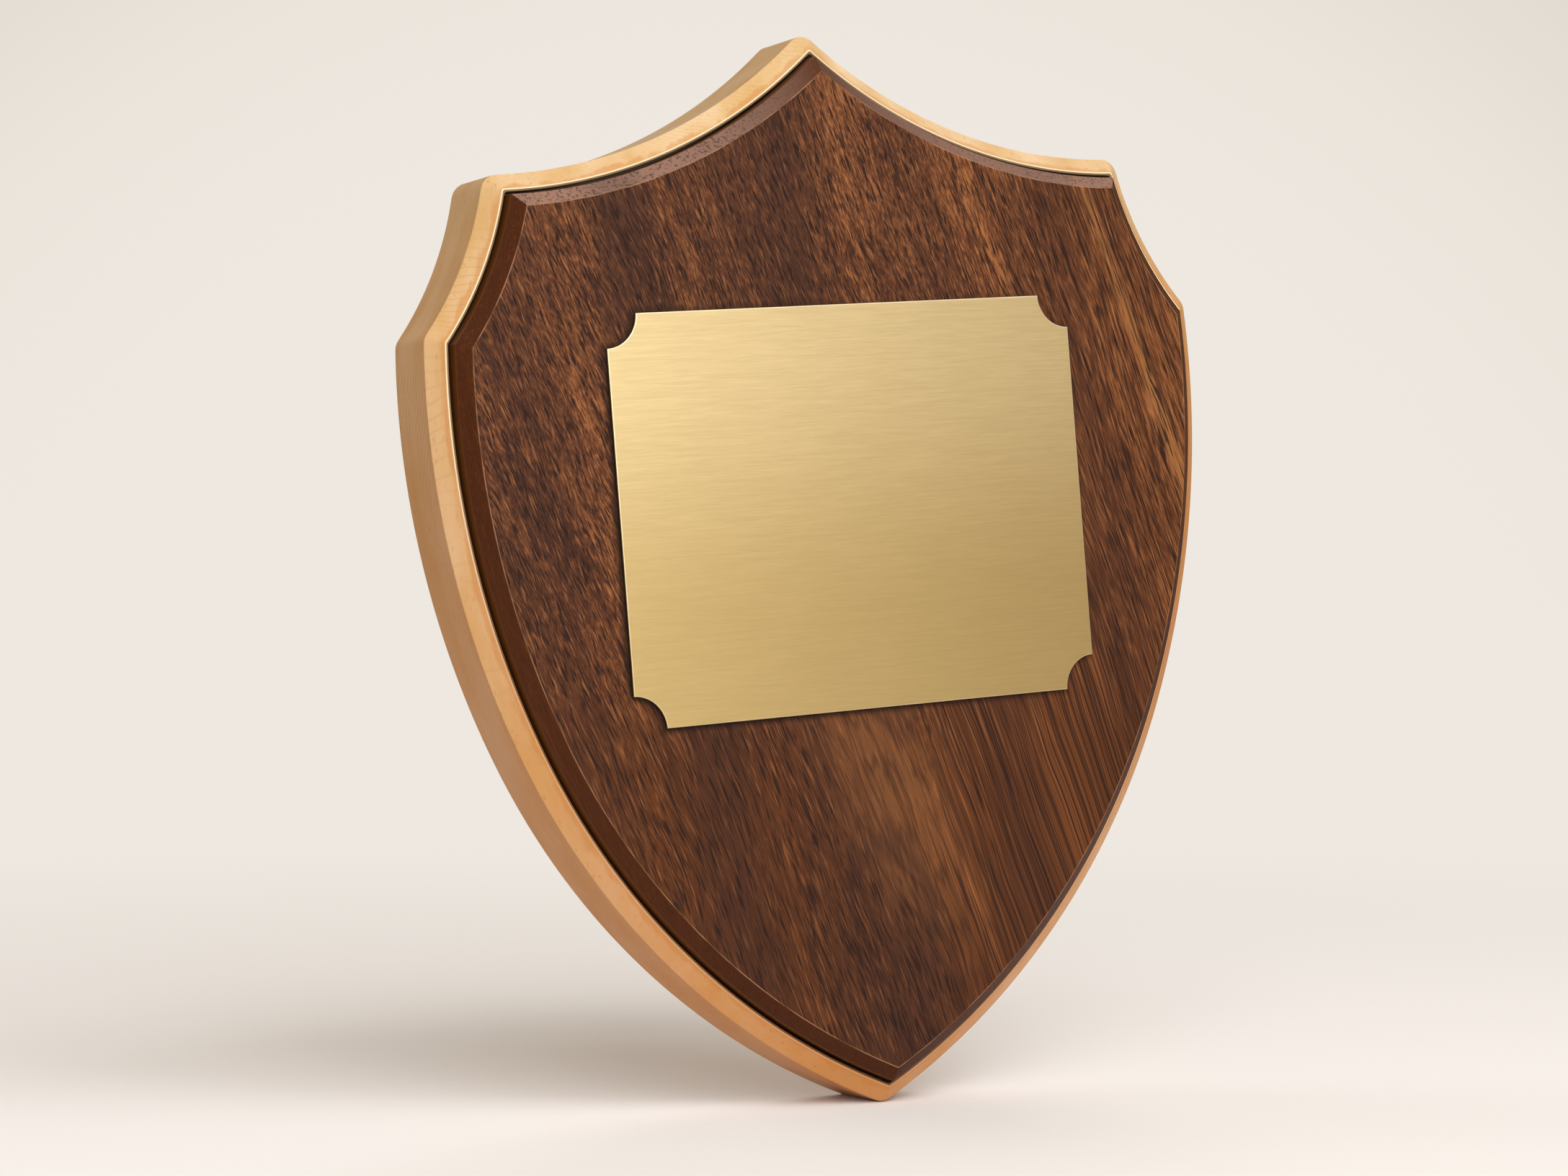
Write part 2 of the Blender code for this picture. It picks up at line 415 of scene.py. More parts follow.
class MitredMoulding:
    """The Geometry Nodes tree that runs a profile round an outline with true mitres."""

    SIZES = {
        "Back": "back",
        "Front": "front",
        "Chamfer": "chamfer",
        "Land": "land",
        "Recess": "recess",
        "Back Arris": "back_arris",
        "Wall Arris": "wall_arris",
        "Face Arris": "face_arris",
        "Land Arris": "land_arris",
    }
    BACK_RIM = 0.002
    WELD = 1e-6
    SHARP_FROM = math.radians(32.0)

    def __init__(self) -> None:
        self.tree = bpy.data.node_groups.new("mitred moulding", "GeometryNodeTree")
        face = self.tree.interface
        face.new_socket("Outline", in_out="INPUT", socket_type="NodeSocketGeometry")
        kinds = {name: "NodeSocketFloat" for name in self.SIZES}
        kinds |= {"Height": "NodeSocketFloat", "Recessed": "NodeSocketBool"}
        kinds |= {"Arris Steps": "NodeSocketInt", "Finish": "NodeSocketMaterial"}
        self.identifiers = {
            name: face.new_socket(name, in_out="INPUT", socket_type=kind).identifier
            for name, kind in kinds.items()
        }
        face.new_socket("Moulding", in_out="OUTPUT", socket_type="NodeSocketGeometry")
        entry = self.tree.nodes.new("NodeGroupInput")
        self.given = {socket.name: socket for socket in entry.outputs if socket.name}
        self._build()

    def _section(self) -> Socket:
        """Draws the profile as a curve with rounded arrises.

        Returns:
            The curve: x is the inset and y the height above the wall.
        """
        tree = self.tree
        given = self.given
        wall_top = add_node(tree, "ShaderNodeMath", [given["Front"], given["Chamfer"]],
                            operation="SUBTRACT")
        land_end = add_node(tree, "ShaderNodeMath", [given["Chamfer"], given["Land"]], operation="ADD")
        floor = add_node(tree, "ShaderNodeMath", [given["Front"], given["Recess"]], operation="SUBTRACT")
        insets = (self.BACK_RIM, 0.0, 0.0, given["Chamfer"], land_end, land_end)
        heights = (given["Back"], given["Back"], wall_top, given["Front"], given["Front"], floor)
        arrises = (0.0, given["Back Arris"], given["Wall Arris"], given["Face Arris"],
                   given["Land Arris"], 0.0)
        index = add_node(tree, "GeometryNodeInputIndex")
        by_corner = []
        for values in (insets, heights, arrises):
            choice = add_node(tree, "GeometryNodeIndexSwitch", {"Index": index}, data_type="FLOAT").node
            for _ in values[2:]:
                choice.index_switch_items.new()
            for socket, value in zip(choice.inputs[1:], values):
                if isinstance(value, Socket):
                    tree.links.new(value, socket)
                else:
                    socket.default_value = value
            by_corner.append(choice.outputs[0])
        # Only a recessed piece has the last corner
        counts = {"Switch": given["Recessed"], 1: len(insets) - 1, 2: len(insets)}
        corners = add_node(tree, "GeometryNodeSwitch", counts, input_type="INT")
        line = add_node(tree, "GeometryNodeMeshLine", {"Count": corners})
        kept = add_node(tree, "GeometryNodeStoreNamedAttribute",
                        {"Geometry": line, "Name": "arris", "Value": by_corner[2]})
        spot = add_node(tree, "ShaderNodeCombineXYZ", {"X": by_corner[0], "Y": by_corner[1]})
        placed = add_node(tree, "GeometryNodeSetPosition", {"Geometry": kept, "Position": spot})
        curve = add_node(tree, "GeometryNodeMeshToCurve", {"Mesh": placed})
        arris = add_node(tree, "GeometryNodeInputNamedAttribute", {"Name": "arris"}, data_type="FLOAT")
        return add_node(
            tree, "GeometryNodeFilletCurve",
            {"Curve": curve, "Count": given["Arris Steps"], "Radius": arris, "Limit Radius": True},
            mode="POLY",
        )

    def _moved(self, edge: Socket, mitres: tuple[Socket, Socket], inset: Socket) -> Socket:
        """Moves points of the outline in along their mitres.

        Args:
            edge: Where the points lie on the outline.
            mitres: Their mitres across the chamfer and across the land.
            inset: How far they go in.

        Returns:
            Where they lie then, still flat.
        """
        tree = self.tree
        on_chamfer = add_node(tree, "ShaderNodeMath", [inset, self.given["Chamfer"]], operation="MINIMUM")
        on_land = add_node(tree, "ShaderNodeMath", [inset, on_chamfer], operation="SUBTRACT")
        for mitre, reach in zip(mitres, (on_chamfer, on_land)):
            step = add_node(tree, "ShaderNodeVectorMath", {"Vector": mitre, "Scale": reach},
                            operation="SCALE")
            edge = add_node(tree, "ShaderNodeVectorMath", [edge, step], operation="ADD")
        return edge

    def _build(self) -> None:
        """Builds the walls from a grid, closes both ends and finishes the piece."""
        tree = self.tree
        outline = self.given["Outline"]
        section = self._section()
        place = add_node(tree, "GeometryNodeInputPosition")
        across_chamfer = add_node(tree, "GeometryNodeInputNamedAttribute", {"Name": MITRE},
                                  data_type="FLOAT_VECTOR")
        across_land = add_node(tree, "GeometryNodeInputNamedAttribute", {"Name": LAND_MITRE},
                               data_type="FLOAT_VECTOR")

        around = add_node(tree, "GeometryNodeAttributeDomainSize", {"Geometry": outline},
                          component="MESH")
        rings = add_node(tree, "GeometryNodeAttributeDomainSize", {"Geometry": section},
                         component="CURVE")
        columns = add_node(tree, "FunctionNodeIntegerMath", [around, 1], operation="ADD")
        last = add_node(tree, "FunctionNodeIntegerMath", [rings, 1], operation="SUBTRACT")
        grid = add_node(tree, "GeometryNodeMeshGrid",
                        {"Size X": around, "Size Y": last, "Vertices X": columns, "Vertices Y": rings})
        flat = add_node(tree, "ShaderNodeSeparateXYZ", {"Vector": place}).node
        numbers = []
        for axis, size in ((0, around), (1, last)):
            shifted = add_node(tree, "ShaderNodeMath", [size, 0.5, flat.outputs[axis]],
                               operation="MULTIPLY_ADD")
            numbers.append(add_node(tree, "FunctionNodeFloatToInt", [shifted], rounding_mode="ROUND"))
        column = add_node(tree, "FunctionNodeIntegerMath", [numbers[0], around], operation="MODULO")

        sampled = [
            add_node(tree, "GeometryNodeSampleIndex",
                     {"Geometry": outline, "Value": value, "Index": column},
                     data_type="FLOAT_VECTOR", domain="POINT")
            for value in (place, across_chamfer, across_land)
        ]
        rows = [(numbers[1], None), (0, True), (last, False)]
        steps = []
        for row, _ in rows:
            spot = add_node(tree, "GeometryNodeSampleIndex",
                            {"Geometry": section, "Value": place, "Index": row},
                            data_type="FLOAT_VECTOR", domain="POINT")
            steps.append(add_node(tree, "ShaderNodeSeparateXYZ", {"Vector": spot}).node.outputs)

        ring = self._moved(sampled[0], (sampled[1], sampled[2]), steps[0][0])
        lift = add_node(tree, "ShaderNodeCombineXYZ", {"Z": steps[0][1]})
        ring = add_node(tree, "ShaderNodeVectorMath", [ring, lift], operation="ADD")
        # Finishes read how far in a point lies, which the grid's own positions tell until they move
        known = add_node(tree, "GeometryNodeStoreNamedAttribute",
                         {"Geometry": grid, "Name": INSET, "Value": steps[0][0]})
        walls = add_node(tree, "GeometryNodeSetPosition", {"Geometry": known, "Position": ring})
        # The outline runs clockwise, so the grid comes out facing inwards
        pieces = [add_node(tree, "GeometryNodeFlipFaces", {"Mesh": walls})]
        for (_, turned), (inset, height, _) in zip(rows[1:], steps[1:]):
            rim = self._moved(place, (across_chamfer, across_land), inset)
            closed = add_node(tree, "GeometryNodeSetPosition", {"Geometry": outline, "Position": rim})
            closed = add_node(tree, "GeometryNodeMeshToCurve", {"Mesh": closed})
            cap = add_node(tree, "GeometryNodeFillCurve", {"Curve": closed}, mode="NGONS")
            cap = add_node(tree, "GeometryNodeStoreNamedAttribute",
                           {"Geometry": cap, "Name": INSET, "Value": inset})
            lift = add_node(tree, "ShaderNodeCombineXYZ", {"Z": height})
            cap = add_node(tree, "GeometryNodeSetPosition", {"Geometry": cap, "Offset": lift})
            if turned:
                cap = add_node(tree, "GeometryNodeFlipFaces", {"Mesh": cap})
            pieces.append(cap)
        joined = add_node(tree, "GeometryNodeJoinGeometry")
        for piece in pieces:
            tree.links.new(piece, joined.node.inputs[0])
        whole = add_node(tree, "GeometryNodeMergeByDistance", {"Geometry": joined, "Distance": self.WELD})

        angle = add_node(tree, "GeometryNodeInputMeshEdgeAngle")
        sharp = add_node(tree, "FunctionNodeCompare", [angle, self.SHARP_FROM],
                         data_type="FLOAT", operation="GREATER_THAN")
        whole = add_node(tree, "GeometryNodeSetShadeSmooth", {"Geometry": whole, "Shade Smooth": True},
                         domain="FACE")
        whole = add_node(tree, "GeometryNodeSetShadeSmooth",
                         {"Geometry": whole, "Selection": sharp, "Shade Smooth": False}, domain="EDGE")
        rise = add_node(tree, "ShaderNodeCombineXYZ", {"Z": self.given["Height"]})
        # Upright: the outline's own up becomes +Z, and height above the wall becomes -Y
        upright = add_node(tree, "GeometryNodeTransform",
                           {"Geometry": whole, "Translation": rise, "Rotation": (math.pi / 2, 0.0, 0.0)})
        real = add_node(tree, "GeometryNodeRealizeInstances", {"Geometry": upright})
        done = add_node(tree, "GeometryNodeSetMaterial",
                        {"Geometry": real, "Material": self.given["Finish"]})
        leave = self.tree.nodes.new("NodeGroupOutput")
        tree.links.new(done, leave.inputs[0])

    def run(
        self,
        name: str,
        outline: bpy.types.Mesh,
        profile: Profile,
        height: float,
        finish: bpy.types.Material,
    ) -> bpy.types.Object:
        """Runs a profile round an outline.

        Args:
            name: The piece's name.
            outline: The closed outline with its mitres.
            profile: The section.
            height: Where the outline's zero stands.
            finish: The material.

        Returns:
            The piece, a plain closed mesh.
        """
        piece = bpy.data.objects.new(name, outline)
        bpy.context.scene.collection.objects.link(piece)
        run = piece.modifiers.new("moulding", "NODES")
        run.node_group = self.tree
        for label, size in self.SIZES.items():
            run[self.identifiers[label]] = float(getattr(profile, size))
        run[self.identifiers["Height"]] = height
        run[self.identifiers["Recessed"]] = profile.recess > 0.0
        run[self.identifiers["Arris Steps"]] = profile.steps
        run[self.identifiers["Finish"]] = finish
        plain(piece)
        return piece


def upright(across: float, along: float) -> tuple[float, float, float]:
    """How many marks of a width and a length go into a metre, where they run up and down."""
    return (1 / across, 1 / across, 1 / along)


def level(across: float, along: float) -> tuple[float, float, float]:
    """How many marks of a width and a length go into a metre, where they run left and right."""
    return (1 / along, 1 / across, 1 / across)


@dataclass(frozen=True)
class Marks:
    """A noise of stretched marks.

    It holds how many marks go into a metre along each axis, how much finer structure they have and how
    strong that is, and a step sideways, in marks, by which two noises differ.
    """

    per_metre: tuple[float, float, float]
    detail: float = 2.0
    roughness: float = 0.5
    shift: float = 0.0

    def drawn(self, tree: Tree, place: Socket) -> Socket:
        """Draws the noise.

        Args:
            tree: The material's tree.
            place: Where on the piece it is read, in metres.

        Returns:
            The noise, round one half.
        """
        stretched = add_node(tree, "ShaderNodeMapping", {
            "Vector": place, "Location": (self.shift, 0.0, 0.0), "Scale": self.per_metre,
        })
        return add_node(tree, "ShaderNodeTexNoise", {
            "Vector": stretched, "Scale": 1.0, "Detail": self.detail, "Roughness": self.roughness,
        })


@dataclass(frozen=True)
class Oval:
    """An oval on the front, in metres, with how far its foot leans to the right, in radians."""

    across: float
    up: float
    half_width: float
    half_height: float
    lean: float

    def measured(self, tree: Tree, place: Socket) -> Socket:
        """Measures how far out in the oval each point lies.

        Args:
            tree: The material's tree.
            place: The Object coordinates.

        Returns:
            0 in the middle and 1 on the oval.
        """
        inside = add_node(tree, "ShaderNodeMapping", {
            "Vector": place,
            "Location": (self.across, 0.0, self.up),
            "Rotation": (0.0, -self.lean, 0.0),
            "Scale": (self.half_width, 1.0, self.half_height),
        }, vector_type="TEXTURE")
        flat = add_node(tree, "ShaderNodeVectorMath", [inside, FLAT], operation="MULTIPLY")
        return add_node(tree, "ShaderNodeVectorMath", [flat], out=1, operation="LENGTH")


class Finish:
    """What finishes share: a named material with one shader, coats of colour, wear and relief.

    The relief has a strength and a depth in metres, and the wear's range turns into roughness.
    """

    name: str
    relief: float
    relief_depth: float
    roughened: Span

    def start(self) -> tuple[bpy.types.Material, Tree, dict[str, Socket]]:
        """Makes the bare material.

        Returns:
            The material, its tree and its shader's inputs by name.
        """
        material = bpy.data.materials.new(self.name)
        material.use_nodes = True
        tree = material.node_tree
        shader = next(node for node in tree.nodes if node.type == "BSDF_PRINCIPLED")
        return material, tree, {socket.name: socket for socket in shader.inputs}

    def coated(self, tree: Tree, colour: Any, coats: list[Coat]) -> Socket:
        """Lays plain colours over a base one, each over all before it.

        Args:
            tree: The material's tree.
            colour: The base.
            coats: How much of each plain colour shows, from 0 to 1, and the colour as #RRGGBB.

        Returns:
            The colour on top.
        """
        for share, code in coats:
            colour = add_node(tree, "ShaderNodeMix", {
                "Factor_Float": share, "A_Color": colour, "B_Color": linear(code),
            }, out=2, data_type="RGBA")
        return colour

    def dress(
        self,
        tree: Tree,
        shader: dict[str, Socket],
        colour: Socket,
        wear: Socket,
        height: Socket,
    ) -> None:
        """Gives the shader its colour, its roughness and its relief.

        Args:
            tree: The material's tree.
            shader: The shader's inputs by name.
            colour: The colour.
            wear: The pattern that the roughness follows.
            height: The pattern that the relief follows.
        """
        bump = add_node(tree, "ShaderNodeBump", {
            "Strength": self.relief, "Distance": self.relief_depth, "Height": height,
        })
        dull = add_node(tree, "ShaderNodeMapRange", [wear, *self.roughened])
        for name, socket in (("Base Color", colour), ("Roughness", dull), ("Normal", bump)):
            tree.links.new(socket, shader[name])

    def facing(self, tree: Tree) -> bpy.types.NodeOutputs:
        """Splits the way that the surface faces into its three axes.

        Args:
            tree: The material's tree.

        Returns:
            How much it faces right, back and up.
        """
        normal = add_node(tree, "ShaderNodeNewGeometry", out=1)
        return add_node(tree, "ShaderNodeSeparateXYZ", [normal]).node.outputs


@dataclass(frozen=True)
class OiledWalnut(Finish):
    """American black walnut, planed, chamfered and oiled.

    To the eye: a warm brown field with short dark open pores, copper fibres between them, broad greyer
    bands, chamfers that drank more oil and went darker, and a satin shine that the pores break up.
    """

    name: str = "oiled black walnut"
    pore: str = "#1E0F09"
    dark: str = "#3B1F11"
    heart: str = "#5A331C"
    copper: str = "#87542E"
    light: str = "#A0663C"
    band: str = "#371F15"
    golden: str = "#7B4D29"
    stripe: str = "#A06A3A"
    warm: str = "#4A2406"
    # Painted shadow beside the plate
    plate_shadow_colour: str = "#1C0E06"
    soaked: str = "#401C04"
    # Painted glow on the wall beside the gap, light thrown up from the maple
    side: str = "#5C3410"
    # Painted sheen: paler and greyer on the cut faces that look up
    up_facing_tone: str = "#927060"
    up_facing_band: str = "#4E3D36"
    speck: str = "#3E2C28"
    # Painted highlight along the face's arris
    arris_highlight_tint: str = "#AC7C58"

    # How the fibres run: they lean to the right as they go down, and wander
    lean: float = 0.34
    lean_growth: float = -0.40
    wander: float = 7.0 * MM
    slow: Marks = Marks((26.0, 26.0, 14.0))
    foot_top: float = -0.105
    foot_stretch: float = 0.42
    right_stretch: Span = (0.02, 0.08, 1.0, 0.48)

    # Fibres, slow changes, thin veins, copper gleams and open pores, each a little coarser than life
    fine: Marks = Marks(upright(0.45 * MM, 1.7 * MM), 2.0, 0.55)
    mid: Marks = Marks(upright(4.5 * MM, 38.0 * MM), 2.0, 0.55)
    veins: Marks = Marks(upright(1.1 * MM, 26.0 * MM), 1.0, 0.55, 71.0)
    gleams: Marks = Marks(upright(0.8 * MM, 6.4 * MM), 1.5, 0.55, 37.0)
    pores: Marks = Marks(upright(0.55 * MM, 4.4 * MM), 1.5, 0.55)
    vein_across: Span = (-0.06, 0.05, 0.25, 0.65)
    vein_edge: Span = (0.56, 0.68)
    gleam_height: Span = (-0.10, -0.14, 0.70, 0.45)
    gleam_edge: Span = (0.55, 0.76)
    gleam_banded: Span = (0.0, 1.0, 1.0, 0.45)
    pore_glow: Span = (0.0, 0.5, 0.90, 0.35)
    pore_edge: Span = (0.47, 0.36)

    # The growth bands: where across the board each lies, and how deep it is
    band_lean: float = 0.11
    band_wander: Marks = Marks((90.0, 90.0, 26.0), 4.0)
    bands: tuple[tuple[float, float], ...] = (
        (-0.122, 0.2), (-0.100, 0.45), (-0.084, 0.0), (-0.063, 1.0), (-0.047, 0.3), (-0.030, 0.6),
        (-0.011, 0.95), (0.008, 0.1), (0.030, 0.55), (0.050, 0.0), (0.076, 0.6), (0.092, 0.1),
    )

    # The tone darkens from the upper right to the lower left, a painted shade, and stands on a scale of
    # five browns
    shade_slant: tuple[float, float, float] = (0.78, 0.0, 0.62)
    shade_span: Span = (-0.14, 0.06, 0.44, 0.565)
    fine_weight: float = 0.75
    mid_weight: float = 0.50
    band_weight: float = -0.13
    browns_at: tuple[float, ...] = (0.15, 0.34, 0.50, 0.68, 0.95)
    warm_right: Span = (0.03, 0.09, 0.0, 0.35)
    warm_aside: Span = (0.0, 0.03, 0.15, 0.60)
    warm_height: Span = (-0.06, -0.13)
    grey_height: Span = (-0.15, -0.02, 0.50, 0.60)
    stripe_at: float = 0.0980
    stripe_edge: Span = (3.2 * MM, 0.5 * MM, 0.0, 0.40)

    # The golden flame low in the middle, the fine rings round it and the arch to its left
    flame: Oval = Oval(0.005, -0.137, 0.017, 0.046, math.radians(24.0))
    flame_glow: Span = (1.5, 0.2, 0.0, 0.52)
    ring_wander: float = 0.9
    ring_pitch: float = 0.17
    ring_edge: Span = (0.07, 0.01, 0.0, 0.55)
    ring_reach: Span = (3.2, 1.0)
    arch: Oval = Oval(0.002, -0.176, 0.012, 0.026, math.radians(8.0))
    arch_wander: float = 0.8
    arch_at: float = 1.4
    arch_edge: Span = (0.35, 0.0)
    arch_height: Span = (-0.195, -0.165, 0.0, 0.60)

    # The painted shadow beside the plate, and the cut faces with their painted sheen, glow and highlight
    tablet_centre: tuple[float, float, float] = (0.0, 0.0, -0.0557)
    tablet_half: tuple[float, float, float] = (0.074, 0.0, 0.057)
    scoop_radius: float = 9.4 * MM
    plate_shadow_slant: Span = (-0.06, 0.06, 0.80, 0.25)
    plate_shadow_edge: Span = (2.4 * MM, 0.0)
    chamfer: float = 3.6 * MM
    cut_facing: Span = (-0.94, -0.80, 0.0, 0.86)
    capped_across: Span = (-0.1, 0.3, 0.86, 0.48)
    capped_facing: Span = (0.54, 0.64)
    capped_band: float = 0.6
    speck_size: float = 0.9 * MM
    speck_edge: Span = (0.52, 0.64, 0.0, 0.80)
    wall_glow_inset: Span = (0.15 * MM, 0.05 * MM, 0.0, 0.8)
    arris_width: float = 0.14 * MM
    highlight_breaks: float = 140.0
    highlight_break_edge: Span = (0.38, 0.60, 0.15, 0.50)

    relief: float = 0.35
    relief_depth: float = 0.10 * MM
    roughened: Span = (0.0, 1.0, 0.50, 0.62)
    shine: float = 0.12

    def _grain(self, tree: Tree, place: Socket) -> Socket:
        """Follows the leaning, wandering fibres.

        Args:
            tree: The material's tree.
            place: The Object coordinates.

        Returns:
            Coordinates that run along the fibres.
        """
        split = add_node(tree, "ShaderNodeSeparateXYZ", [place]).node.outputs
        # They lean a little less on the right
        lean = add_node(tree, "ShaderNodeMath", [split[0], self.lean_growth, self.lean],
                        operation="MULTIPLY_ADD")
        across = add_node(tree, "ShaderNodeMath", [split[2], lean, split[0]], operation="MULTIPLY_ADD")
        wander = self.slow.drawn(tree, place)
        across = add_node(tree, "ShaderNodeMath", [wander, self.wander, across], operation="MULTIPLY_ADD")
        # They also run longer there, and towards the foot, where the board was sawn truer to them
        foot = add_node(tree, "ShaderNodeMath", [split[2], -self.foot_top], operation="ADD")
        foot = add_node(tree, "ShaderNodeMath", [foot, 0.0], operation="MINIMUM")
        along = add_node(tree, "ShaderNodeMath", [foot, -self.foot_stretch, split[2]],
                         operation="MULTIPLY_ADD")
        longer = add_node(tree, "ShaderNodeMapRange", [split[0], *self.right_stretch])
        along = add_node(tree, "ShaderNodeMath", [along, longer], operation="MULTIPLY")
        return add_node(tree, "ShaderNodeCombineXYZ", [across, split[1], along])

    def _bands(self, tree: Tree, place: Socket) -> Socket:
        """Lays the broad greyer growth bands, nearly upright, with wandering edges.

        Args:
            tree: The material's tree.
            place: The Object coordinates.

        Returns:
            How deep in a band each point lies, from 0 to 1.
        """
        split = add_node(tree, "ShaderNodeSeparateXYZ", [place]).node.outputs
        across = add_node(tree, "ShaderNodeMath", [split[2], self.band_lean, split[0]],
                          operation="MULTIPLY_ADD")
        wander = self.band_wander.drawn(tree, place)
        across = add_node(tree, "ShaderNodeMath", [wander, 2 * self.wander, across],
                          operation="MULTIPLY_ADD")
        low = self.bands[0][0]
        high = self.bands[-1][0]
        # The noise's mean of one half has moved everything by one wander
        along = add_node(tree, "ShaderNodeMapRange", [across, low + self.wander, high + self.wander])
        ramp = add_node(tree, "ShaderNodeValToRGB", [along]).node
        ramp.color_ramp.interpolation = "EASE"
        stops = ramp.color_ramp.elements
        for number, (spot, depth) in enumerate(self.bands):
            share = (spot - low) / (high - low)
            stop = stops[0] if number == 0 else stops.new(share) if share < 1.0 else stops[-1]
            stop.color = (depth, depth, depth, 1.0)
        return ramp.outputs[0]

    def _browns(
        self,
        tree: Tree,
        place: Socket,
        weighed: tuple[tuple[Socket, float], ...],
        bands: Socket,
    ) -> Socket:
        """Adds up one tone and turns it into a brown.

        Args:
            tree: The material's tree.
            place: The Object coordinates.
            weighed: The noises in it, each with its weight.
            bands: How deep in a growth band each point lies.

        Returns:
            The brown.
        """
        # Painted shade: the tone falls towards the lower left
        toward = add_node(tree, "ShaderNodeVectorMath", [place, self.shade_slant], out=1,
                          operation="DOT_PRODUCT")
        tone = add_node(tree, "ShaderNodeMapRange", [toward, *self.shade_span])
        for noise, weight in weighed:
            step = add_node(tree, "ShaderNodeMath", [noise, weight, -weight / 2],
                            operation="MULTIPLY_ADD")
            tone = add_node(tree, "ShaderNodeMath", [tone, step], operation="ADD")
        tone = add_node(tree, "ShaderNodeMath", [bands, self.band_weight, tone], operation="MULTIPLY_ADD")
        ramp = add_node(tree, "ShaderNodeValToRGB", [tone]).node
        stops = ramp.color_ramp.elements
        browns = (self.pore, self.dark, self.heart, self.copper, self.light)
        stops[0].position, *between, stops[1].position = self.browns_at
        stops[0].color = linear(browns[0])
        stops[1].color = linear(browns[-1])
        for spot, brown in zip(between, browns[1:-1]):
            stops.new(spot).color = linear(brown)
        return ramp.outputs[0]

    def _ground(self, tree: Tree, place: Socket, bands: Socket) -> list[Coat]:
        """Turns the wood yellower to the right and towards the foot, and greyer in the bands.

        Args:
            tree: The material's tree.
            place: The Object coordinates.
            bands: How deep in a growth band each point lies.

        Returns:
            The coats.
        """
        split = add_node(tree, "ShaderNodeSeparateXYZ", [place]).node.outputs
        right = add_node(tree, "ShaderNodeMapRange", [split[0], *self.warm_right])
        aside = add_node(tree, "ShaderNodeMath", [split[0]], operation="ABSOLUTE")
        aside = add_node(tree, "ShaderNodeMapRange", [aside, *self.warm_aside])
        low = add_node(tree, "ShaderNodeMapRange", [split[2], *self.warm_height, 0.0, aside])
        warm = add_node(tree, "ShaderNodeMath", [right, low], operation="MAXIMUM")
        grey = add_node(tree, "ShaderNodeMapRange", [split[2], *self.grey_height])
        greyed = add_node(tree, "ShaderNodeMath", [bands, grey], operation="MULTIPLY")
        return [(warm, self.warm), (greyed, self.band)]

    def _stripe(self, tree: Tree, grain: Socket) -> list[Coat]:
        """Runs one golden stripe down the right.

        Args:
            tree: The material's tree.
            grain: Coordinates along the fibres.

        Returns:
            The coat.
        """
        across = add_node(tree, "ShaderNodeSeparateXYZ", [grain]).node.outputs[0]
        off = add_node(tree, "ShaderNodeMath", [across, self.stripe_at], operation="SUBTRACT")
        off = add_node(tree, "ShaderNodeMath", [off], operation="ABSOLUTE")
        stripe = add_node(tree, "ShaderNodeMapRange", [off, *self.stripe_edge],
                          interpolation_type="SMOOTHSTEP")
        return [(stripe, self.stripe)]

    def _rings(self, tree: Tree, place: Socket, flame: Socket, mid: Socket) -> list[Coat]:
        """Nests growth rings round the flame as fine darker lines, and a soft darker arch to its left.

        Args:
            tree: The material's tree.
            place: The Object coordinates.
            flame: How far out in the flame each point lies.
            mid: The noise by which the lines wander.

        Returns:
            The coats.
        """
        ring = add_node(tree, "ShaderNodeMath", [mid, self.ring_wander, flame], operation="MULTIPLY_ADD")
        ring = add_node(tree, "ShaderNodeMath", [ring, self.ring_pitch], operation="PINGPONG")
        ring = add_node(tree, "ShaderNodeMapRange", [ring, *self.ring_edge])
        around = add_node(tree, "ShaderNodeMapRange", [flame, *self.ring_reach],
                          interpolation_type="SMOOTHSTEP")
        ring = add_node(tree, "ShaderNodeMath", [ring, around], operation="MULTIPLY")

        arch = self.arch.measured(tree, place)
        arch = add_node(tree, "ShaderNodeMath", [mid, self.arch_wander, arch], operation="MULTIPLY_ADD")
        arch = add_node(tree, "ShaderNodeMath", [arch, self.arch_at], operation="SUBTRACT")
        arch = add_node(tree, "ShaderNodeMath", [arch], operation="ABSOLUTE")
        height = add_node(tree, "ShaderNodeSeparateXYZ", [place]).node.outputs[2]
        upper = add_node(tree, "ShaderNodeMapRange", [height, *self.arch_height])
        arch = add_node(tree, "ShaderNodeMapRange", [arch, *self.arch_edge, 0.0, upper],
                        interpolation_type="SMOOTHSTEP")
        return [(ring, self.dark), (arch, self.band)]

    def _strokes(
        self,
        tree: Tree,
        place: Socket,
        grain: Socket,
        bands: Socket,
        glow: Socket,
    ) -> list[Coat]:
        """Draws long thin veins, short copper gleams and short dark open pores along the fibres.

        Args:
            tree: The material's tree.
            place: The Object coordinates.
            grain: Coordinates along the fibres.
            bands: How deep in a growth band each point lies, where fewer gleams show.
            glow: How golden the flame is, where fewer pores show.

        Returns:
            The coats, with the pores last.
        """
        split = add_node(tree, "ShaderNodeSeparateXYZ", [place]).node.outputs
        # More veins show to the right
        veined = add_node(tree, "ShaderNodeMapRange", [split[0], *self.vein_across])
        vein = self.veins.drawn(tree, grain)
        vein = add_node(tree, "ShaderNodeMapRange", [vein, *self.vein_edge, 0.0, veined])

        soft = add_node(tree, "ShaderNodeMapRange", [split[2], *self.gleam_height])
        gleam = self.gleams.drawn(tree, grain)
        gleam = add_node(tree, "ShaderNodeMapRange", [gleam, *self.gleam_edge, 0.0, soft])
        hidden = add_node(tree, "ShaderNodeMapRange", [bands, *self.gleam_banded])
        gleam = add_node(tree, "ShaderNodeMath", [gleam, hidden], operation="MULTIPLY")

